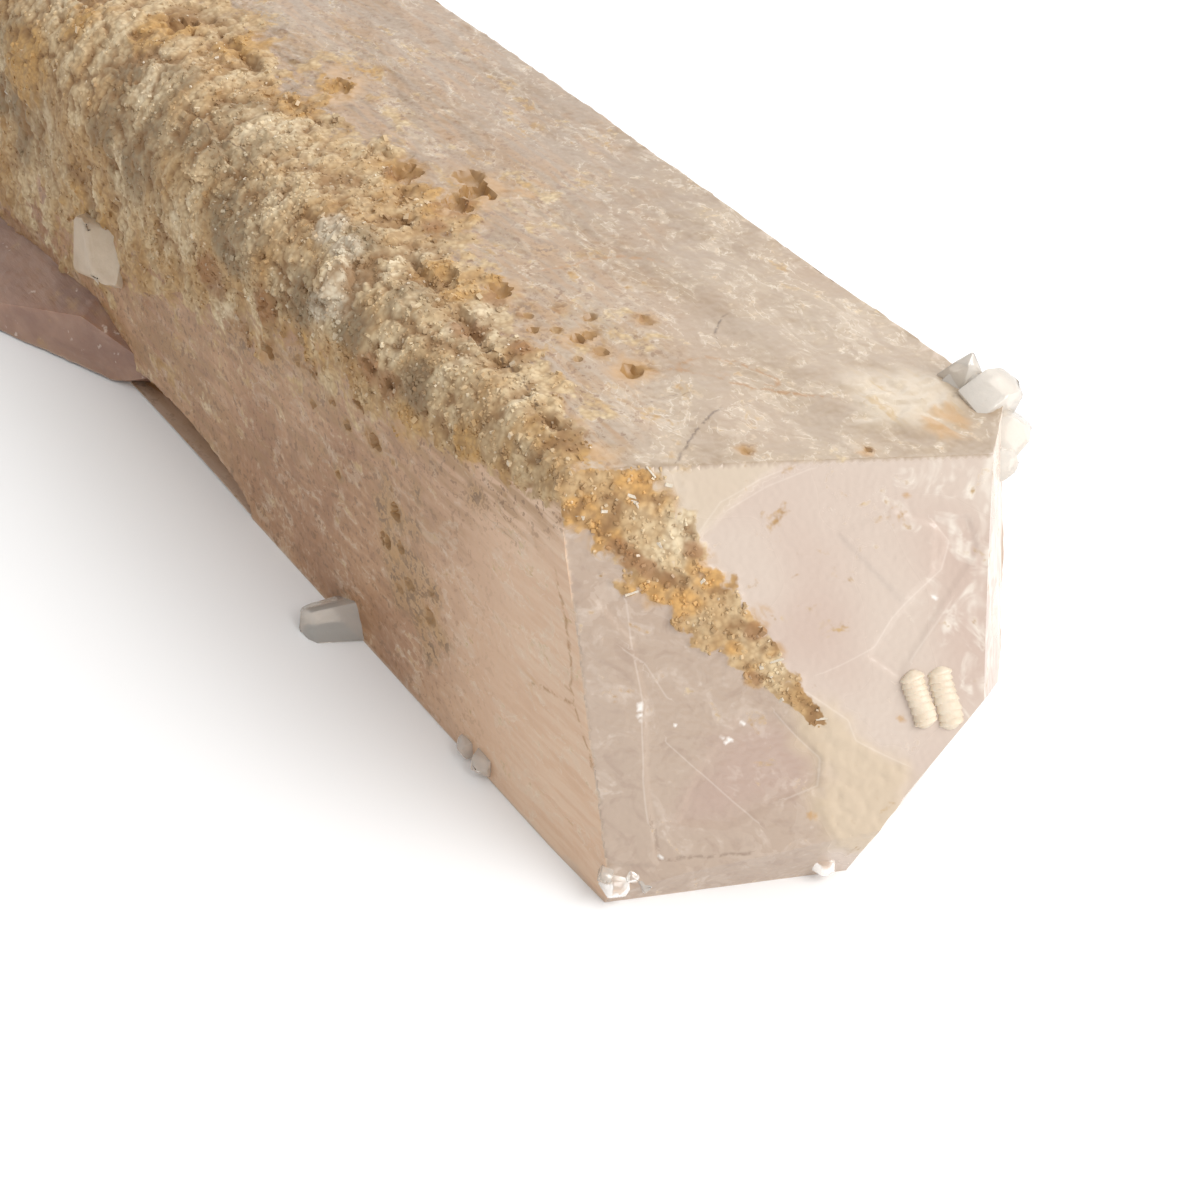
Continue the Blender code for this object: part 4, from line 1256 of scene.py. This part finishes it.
def companion_material(colours):
    """The darker, pinkish brown companion."""
    material, n, shader, place = new_material("danburite_companion", {
        "IOR": GEM_IOR, "Subsurface Weight": 0.4, "Subsurface Radius": (1.0, 0.6, 0.4),
        "Subsurface Scale": 2.0 * MM})
    mottle = n.noise(n.stretched(place, (2.0, 1.0, 1.0)), 2.6 * MM, 5.0, 0.6, 0.5)
    specks = n.step(n.noise(place, 1.1 * MM, 3.0, 0.6), 0.64, 0.72)
    dust = n.step(n.noise(place, 3.4 * MM, 4.0, 0.7), 0.56, 0.70)
    colour = n.layers(
        n.mix(n.step(mottle, 0.35, 0.7), tone(160, 125, 104), tone(137, 102, 85)),
        ((222, 206, 192), specks, 0.6))
    n.feed(shader.inputs["Base Color"], n.mix(n.times(dust, 0.5), colour, tuple(colours.tan)))
    n.feed(shader.inputs["Roughness"], n.blend(mottle, 0.30, 0.60))
    n.bump(shader, n.noise(n.stretched(place, (6.0, 1.0, 1.0)), 0.7 * MM, 5.0, 0.65), 0.5, 0.15)
    return material


def clear_material(name, transmission):
    """Clear danburite, seen through, with faint striations."""
    material, n, shader, place = new_material(name, {
        "Base Color": (0.98, 0.91, 0.82, 1), "Transmission Weight": transmission, "IOR": GEM_IOR})
    n.feed(shader.inputs["Roughness"], n.blend(n.noise(place, 0.6 * MM, 3.0, 0.6), 0.05, 0.24))
    n.bump(shader, n.noise(place, 0.35 * MM, 4.0, 0.6), 0.4, 0.08)
    absorb = n.add("ShaderNodeVolumeAbsorption", (("Color", (0.97, 0.93, 0.87, 1)), ("Density", 25.0)))
    n.feed(material.node_tree.nodes["Material Output"].inputs["Volume"], absorb.outputs[0])
    return material


def milky_material():
    """White, cloudy danburite, browner towards the root."""
    material, n, shader, place = new_material("danburite_milky", {
        "IOR": GEM_IOR, "Subsurface Weight": 0.3, "Subsurface Radius": (1.0, 0.75, 0.6),
        "Subsurface Scale": 0.8 * MM})
    cloud = n.noise(place, 1.2 * MM, 4.0, 0.6)
    along = n.add("ShaderNodeSeparateXYZ", (("Vector", place),)).outputs[0]
    front = n.mix(cloud, tone(200, 180, 154), tone(232, 218, 198))
    back = n.mix(cloud, tone(136, 106, 74), tone(178, 152, 120))
    n.feed(shader.inputs["Base Color"], n.mix(n.step(along, -10 * MM, -30 * MM), front, back))
    n.feed(shader.inputs["Roughness"], n.blend(cloud, 0.25, 0.55))
    n.bump(shader, n.noise(place, 0.4 * MM, 4.0, 0.6), 0.4, 0.1)
    return material


def grain_material(colours):
    """Grains of the crust, each with its own shade."""
    material, n, shader, place = new_material("danburite_grains", {"IOR": 1.6})
    shade = n.value("shade")
    glassy = n.step(shade, 0.80, 0.98)
    crust = crust_colour(n, place, colours, n.step(shade, 0.0, 0.5))
    n.feed(shader.inputs["Base Color"], n.layers(crust, ((226, 212, 186), glassy, 0.35)))
    n.feed(shader.inputs["Roughness"], n.blend(glassy, 0.7, 0.22))
    return material


# Scattered grains and splinters


def scatter_tree(name, mask, shapes):
    """A Geometry Nodes tree that scatters small shapes over a surface where a mask is set."""
    tree = bpy.data.node_groups.new(name, "GeometryNodeTree")
    for label, kind in (
        ("Geometry", "Geometry"), ("Density", "Float"), ("Size", "Float"), ("Flatness", "Float"),
        ("Tilt", "Float"), ("Sink", "Float"), ("Seed", "Int"), ("Material", "Material"),
    ):
        tree.interface.new_socket(label, in_out="INPUT", socket_type="NodeSocket" + kind)
    tree.interface.new_socket("Geometry", in_out="OUTPUT", socket_type="NodeSocketGeometry")
    n = Nodes(tree)
    source = n.add("NodeGroupInput").outputs
    here = n.add("GeometryNodeInputNamedAttribute", (("Name", mask),), data_type="FLOAT")
    scatter = n.add("GeometryNodeDistributePointsOnFaces", (
        ("Mesh", source["Geometry"]), ("Seed", source["Seed"]),
        ("Density", n.times(here.outputs["Attribute"], source["Density"])))).outputs
    sunk = n.vector("SCALE", scatter["Normal"], n.times(source["Sink"], -1.0))
    points = n.add("GeometryNodeSetPosition", (("Geometry", scatter["Points"]), ("Offset", sunk)))
    shade = n.add("FunctionNodeRandomValue", (("Seed", SHADE_SEED),), data_type="FLOAT")
    kept = n.add("GeometryNodeStoreNamedAttribute", (
        ("Geometry", points.outputs[0]), ("Name", "shade"), ("Value", shade.outputs[1])),
        data_type="FLOAT", domain="POINT")
    joined_shapes = n.add("GeometryNodeGeometryToInstance")
    for shape in shapes(n):
        tree.links.new(shape, joined_shapes.inputs[0])
    spread = n.add("FunctionNodeRandomValue", (
        (0, (-1.0, -1.0, -3.1416)), (1, (1.0, 1.0, 3.1416)), ("Seed", TURN_SEED)),
        data_type="FLOAT_VECTOR")
    tilt = n.add("ShaderNodeCombineXYZ", (("X", source["Tilt"]), ("Y", source["Tilt"]), ("Z", 1.0)))
    tilted = n.vector("MULTIPLY", spread.outputs[0], tilt.outputs[0])
    turn = n.add("FunctionNodeEulerToRotation", (("Euler", tilted),))
    turned = n.add("FunctionNodeRotateRotation", (
        ("Rotation", scatter["Rotation"]), ("Rotate By", turn.outputs[0])), rotation_space="LOCAL")
    sizes = n.add("FunctionNodeRandomValue", (
        (0, (0.55, 0.55, 0.55)), (1, (1.30, 1.30, 1.30)), ("Seed", SIZE_SEED)),
        data_type="FLOAT_VECTOR")
    flat = n.add("ShaderNodeCombineXYZ", (("X", 1.0), ("Y", 1.0), ("Z", source["Flatness"])))
    scale = n.vector("MULTIPLY", sizes.outputs[0], flat.outputs[0])
    placed_shapes = n.add("GeometryNodeInstanceOnPoints", (
        ("Points", kept.outputs[0]), ("Instance", joined_shapes.outputs[0]),
        ("Pick Instance", True), ("Rotation", turned.outputs[0]),
        ("Scale", n.vector("SCALE", scale, source["Size"]))))
    whole = n.add("GeometryNodeRealizeInstances", (("Geometry", placed_shapes.outputs[0]),))
    painted = n.add("GeometryNodeSetMaterial", (
        ("Geometry", whole.outputs[0]), ("Material", source["Material"])))
    n.add("NodeGroupOutput", (("Geometry", painted.outputs[0]),))
    return tree


def grain_shapes(n):
    """A round many-sided grain and a blocky one, one unit across."""
    ball = n.add("GeometryNodeMeshIcoSphere", (("Radius", 0.5), ("Subdivisions", 1)))
    block = n.add("GeometryNodeMeshCube", (("Size", (0.8, 0.62, 0.9)),))
    return ball.outputs["Mesh"], block.outputs["Mesh"]


def splinter_shapes(n):
    """Two thin blades, one unit long."""
    long = n.add("GeometryNodeMeshCube", (("Size", (1.0, 0.26, 0.20)),))
    short = n.add("GeometryNodeMeshCube", (("Size", (0.7, 0.34, 0.24)),))
    return long.outputs["Mesh"], short.outputs["Mesh"]


def scatter_piece(name, surface, tree, values, material):
    """Makes a piece of the shapes that a scatter tree sets on a surface."""
    piece = new_piece(name, surface.copy())
    modifier = piece.modifiers.new("scatter", "NODES")
    modifier.node_group = tree
    values = {**values, "Material": material}
    for item in tree.interface.items_tree:
        if item.in_out == "INPUT" and item.name in values:
            modifier[item.identifier] = values[item.name]
    mesh = plain(piece)
    bpy.data.objects.remove(piece)
    settle(mesh, arrays(mesh)[0])
    finish_piece(name, mesh, material)


# Operators


class DANBURITE_OT_body(bpy.types.Operator):
    """Build the big crystal with its crust"""

    bl_idname = "danburite.body"
    bl_label = "Crystal Body"

    def execute(self, context):
        shape = context.scene.danburite_shape
        mesh = fine_mesh(prism_mesh(), BODY, shape.remesh_depth)
        if not len(mesh.vertices):
            raise RuntimeError("the crystal's body came out empty")
        shape_body(mesh, shape)
        mesh = fewer(mesh, BODY, shape.triangles, "keep")
        finish_piece(BODY, mesh, body_material(context.scene.danburite_colours))
        return {"FINISHED"}


class DANBURITE_OT_companion(bpy.types.Operator):
    """Build the companion crystal at the root"""

    bl_idname = "danburite.companion"
    bl_label = "Companion Crystal"

    def execute(self, context):
        mesh = fine_mesh(companion_mesh(), COMPANION, COMPANION_GRID)
        points, normals = arrays(mesh)
        steps = terraces(waves(points, 3.0 * MM, 2.0, (2.5, 1.0, 1.0)) * 4)
        bumps = waves(points, 1.1 * MM, 3.0)
        relief = steps * COMPANION_STEP * MM + bumps * COMPANION_STEP * MM
        relief -= COMPANION_SINK * MM
        settle(mesh, points + normals * relief[:, None])
        mesh = fewer(mesh, COMPANION, COMPANION_TRIANGLES)
        finish_piece(COMPANION, mesh, companion_material(context.scene.danburite_colours))
        return {"FINISHED"}


class DANBURITE_OT_small_crystals(bpy.types.Operator):
    """Build the clear and the milky crystals grown on the big one"""

    bl_idname = "danburite.small_crystals"
    bl_label = "Small Crystals"

    def execute(self, context):
        for name, parts, material in (
            ("clear_crystals", blades(CLEAR_CRYSTALS), clear_material("danburite_clear", 0.45)),
            ("glassy_crystals", blades(GLASSY_CRYSTALS), clear_material("danburite_glassy", 0.65)),
            ("milky_crystals", (*blades(MILKY_CRYSTALS), *ribbed_blades()), milky_material()),
        ):
            finish_piece(name, joined(name, parts), material)
        return {"FINISHED"}


class DANBURITE_OT_crust(bpy.types.Operator):
    """Scatter the crust's grains and the white splinters of the band"""

    bl_idname = "danburite.crust"
    bl_label = "Grains and Splinters"

    def execute(self, context):
        body = bpy.data.objects.get(BODY)
        if body is None:
            raise RuntimeError("build the crystal body first")
        crust = context.scene.danburite_crust
        surface = body.data.copy()
        points, _ = arrays(surface)
        x = section(points)[0]
        patch = waves(points, 3.0 * MM, 12.0) * 0.5 + 0.5
        crusted = smooth(kept(surface, "crust") * 1.6 - 0.35)
        front = smooth((x + 2.6) * 0.6) * 0.75 + 0.25
        store(surface, "grain_here", crusted * (0.25 + patch) * front)
        store(surface, "splinter_here", kept(surface, "band") * crusted)
        grains = scatter_tree("Crust Grains", "grain_here", grain_shapes)
        splinters = scatter_tree("Band Splinters", "splinter_here", splinter_shapes)
        material = grain_material(context.scene.danburite_colours)
        for name, share, density, seed in GRAIN_PIECES:
            scatter_piece(name, surface, grains, {
                "Density": crust.grain_density * density, "Size": crust.grain_size * share,
                "Flatness": 0.9, "Tilt": 1.4, "Sink": 0.10 * crust.grain_size * share,
                "Seed": crust.seed + seed}, material)
        material = bpy.data.materials.get("danburite_milky") or milky_material()
        scatter_piece("band_splinters", surface, splinters, {
            "Density": crust.splinter_density, "Size": crust.splinter_size, "Flatness": 1.0,
            "Tilt": 0.5, "Sink": 0.02 * MM, "Seed": crust.seed + 9}, material)
        return {"FINISHED"}


class DANBURITE_OT_stage(bpy.types.Operator):
    """Set up the floor, the lights and the camera"""

    bl_idname = "danburite.stage"
    bl_label = "Floor, Lights and Camera"

    def execute(self, context):
        scene = context.scene
        mesh = bpy.data.meshes.new("floor")
        corners = [(a * FLOOR_HALF, b * FLOOR_HALF, 0) for a, b in ((-1, -1), (1, -1), (1, 1), (-1, 1))]
        mesh.from_pydata(corners, [], [(0, 1, 2, 3)])
        card = new_material("floor_card", {
            "Base Color": (*scene.danburite_colours.floor, 1), "Roughness": 0.9})[0]
        mesh.materials.append(card)
        new_piece("floor", mesh)

        middle = Vector((0, 0, HEIGHT / 2))
        for name, direction, distance, width, power in LIGHTS:
            light = bpy.data.lights.new(name, "AREA")
            light.shape = "DISK"
            light.size = width
            light.energy = power
            lamp = bpy.data.objects.new(name, light)
            scene.collection.objects.link(lamp)
            way = Vector(direction).normalized()
            lamp.location = middle + way * distance
            lamp.rotation_euler = (-way).to_track_quat("-Z", "Y").to_euler()
        world = bpy.data.worlds.new("studio")
        world.use_nodes = True
        sky = world.node_tree.nodes["Background"].inputs
        sky["Color"].default_value = (1.0, 1.0, 1.0, 1)
        sky["Strength"].default_value = SKY_STRENGTH
        scene.world = world
        scene.view_settings.view_transform = "Standard"

        data = bpy.data.cameras.new("camera")
        data.sensor_width = CAMERA_SENSOR
        data.lens = CAMERA_LENS
        data.clip_start = CAMERA_NEAR
        camera = bpy.data.objects.new("camera", data)
        scene.collection.objects.link(camera)
        flat = math.cos(CAMERA_ELEVATION)
        back = Vector((flat * math.cos(CAMERA_AZIMUTH), flat * math.sin(CAMERA_AZIMUTH),
                       math.sin(CAMERA_ELEVATION)))
        right = (-back).cross(Vector((0, 0, 1))).normalized()
        up = right.cross(-back)
        turn, still = math.sin(CAMERA_ROLL), math.cos(CAMERA_ROLL)
        axes = Matrix((right * still + up * turn, up * still - right * turn, back))
        camera.matrix_world = axes.transposed().to_4x4()
        camera.location = Vector(CAMERA_PLACE) * FACE_WIDTH + SHIFT
        scene.camera = camera
        return {"FINISHED"}


class DANBURITE_PT_panel(bpy.types.Panel):
    """The sidebar panel that lists the pieces"""

    bl_idname = "DANBURITE_PT_panel"
    bl_label = "Danburite"
    bl_space_type = "VIEW_3D"
    bl_region_type = "UI"
    bl_category = "Danburite"

    def draw(self, context):
        layout = self.layout
        for operator in OPERATORS:
            layout.operator(operator.bl_idname)
        for group in (context.scene.danburite_shape, context.scene.danburite_crust,
                      context.scene.danburite_colours):
            box = layout.box()
            for name in group.__annotations__:
                box.prop(group, name)


GROUPS = (DanburiteShape, DanburiteCrust, DanburiteColours)
OPERATORS = (
    DANBURITE_OT_body, DANBURITE_OT_companion, DANBURITE_OT_small_crystals,
    DANBURITE_OT_crust, DANBURITE_OT_stage,
)
CLASSES = (*GROUPS, *OPERATORS, DANBURITE_PT_panel)


def register():
    for cls in CLASSES:
        bpy.utils.register_class(cls)
    bpy.types.Scene.danburite_shape = PointerProperty(type=DanburiteShape)
    bpy.types.Scene.danburite_crust = PointerProperty(type=DanburiteCrust)
    bpy.types.Scene.danburite_colours = PointerProperty(type=DanburiteColours)


def unregister():
    del bpy.types.Scene.danburite_shape
    del bpy.types.Scene.danburite_crust
    del bpy.types.Scene.danburite_colours
    for cls in reversed(CLASSES):
        bpy.utils.unregister_class(cls)


def main():
    """Builds every piece and the stage."""
    register()
    bpy.ops.danburite.body()
    bpy.ops.danburite.companion()
    bpy.ops.danburite.small_crystals()
    bpy.ops.danburite.crust()
    bpy.ops.danburite.stage()


if __name__ == "__main__":
    main()
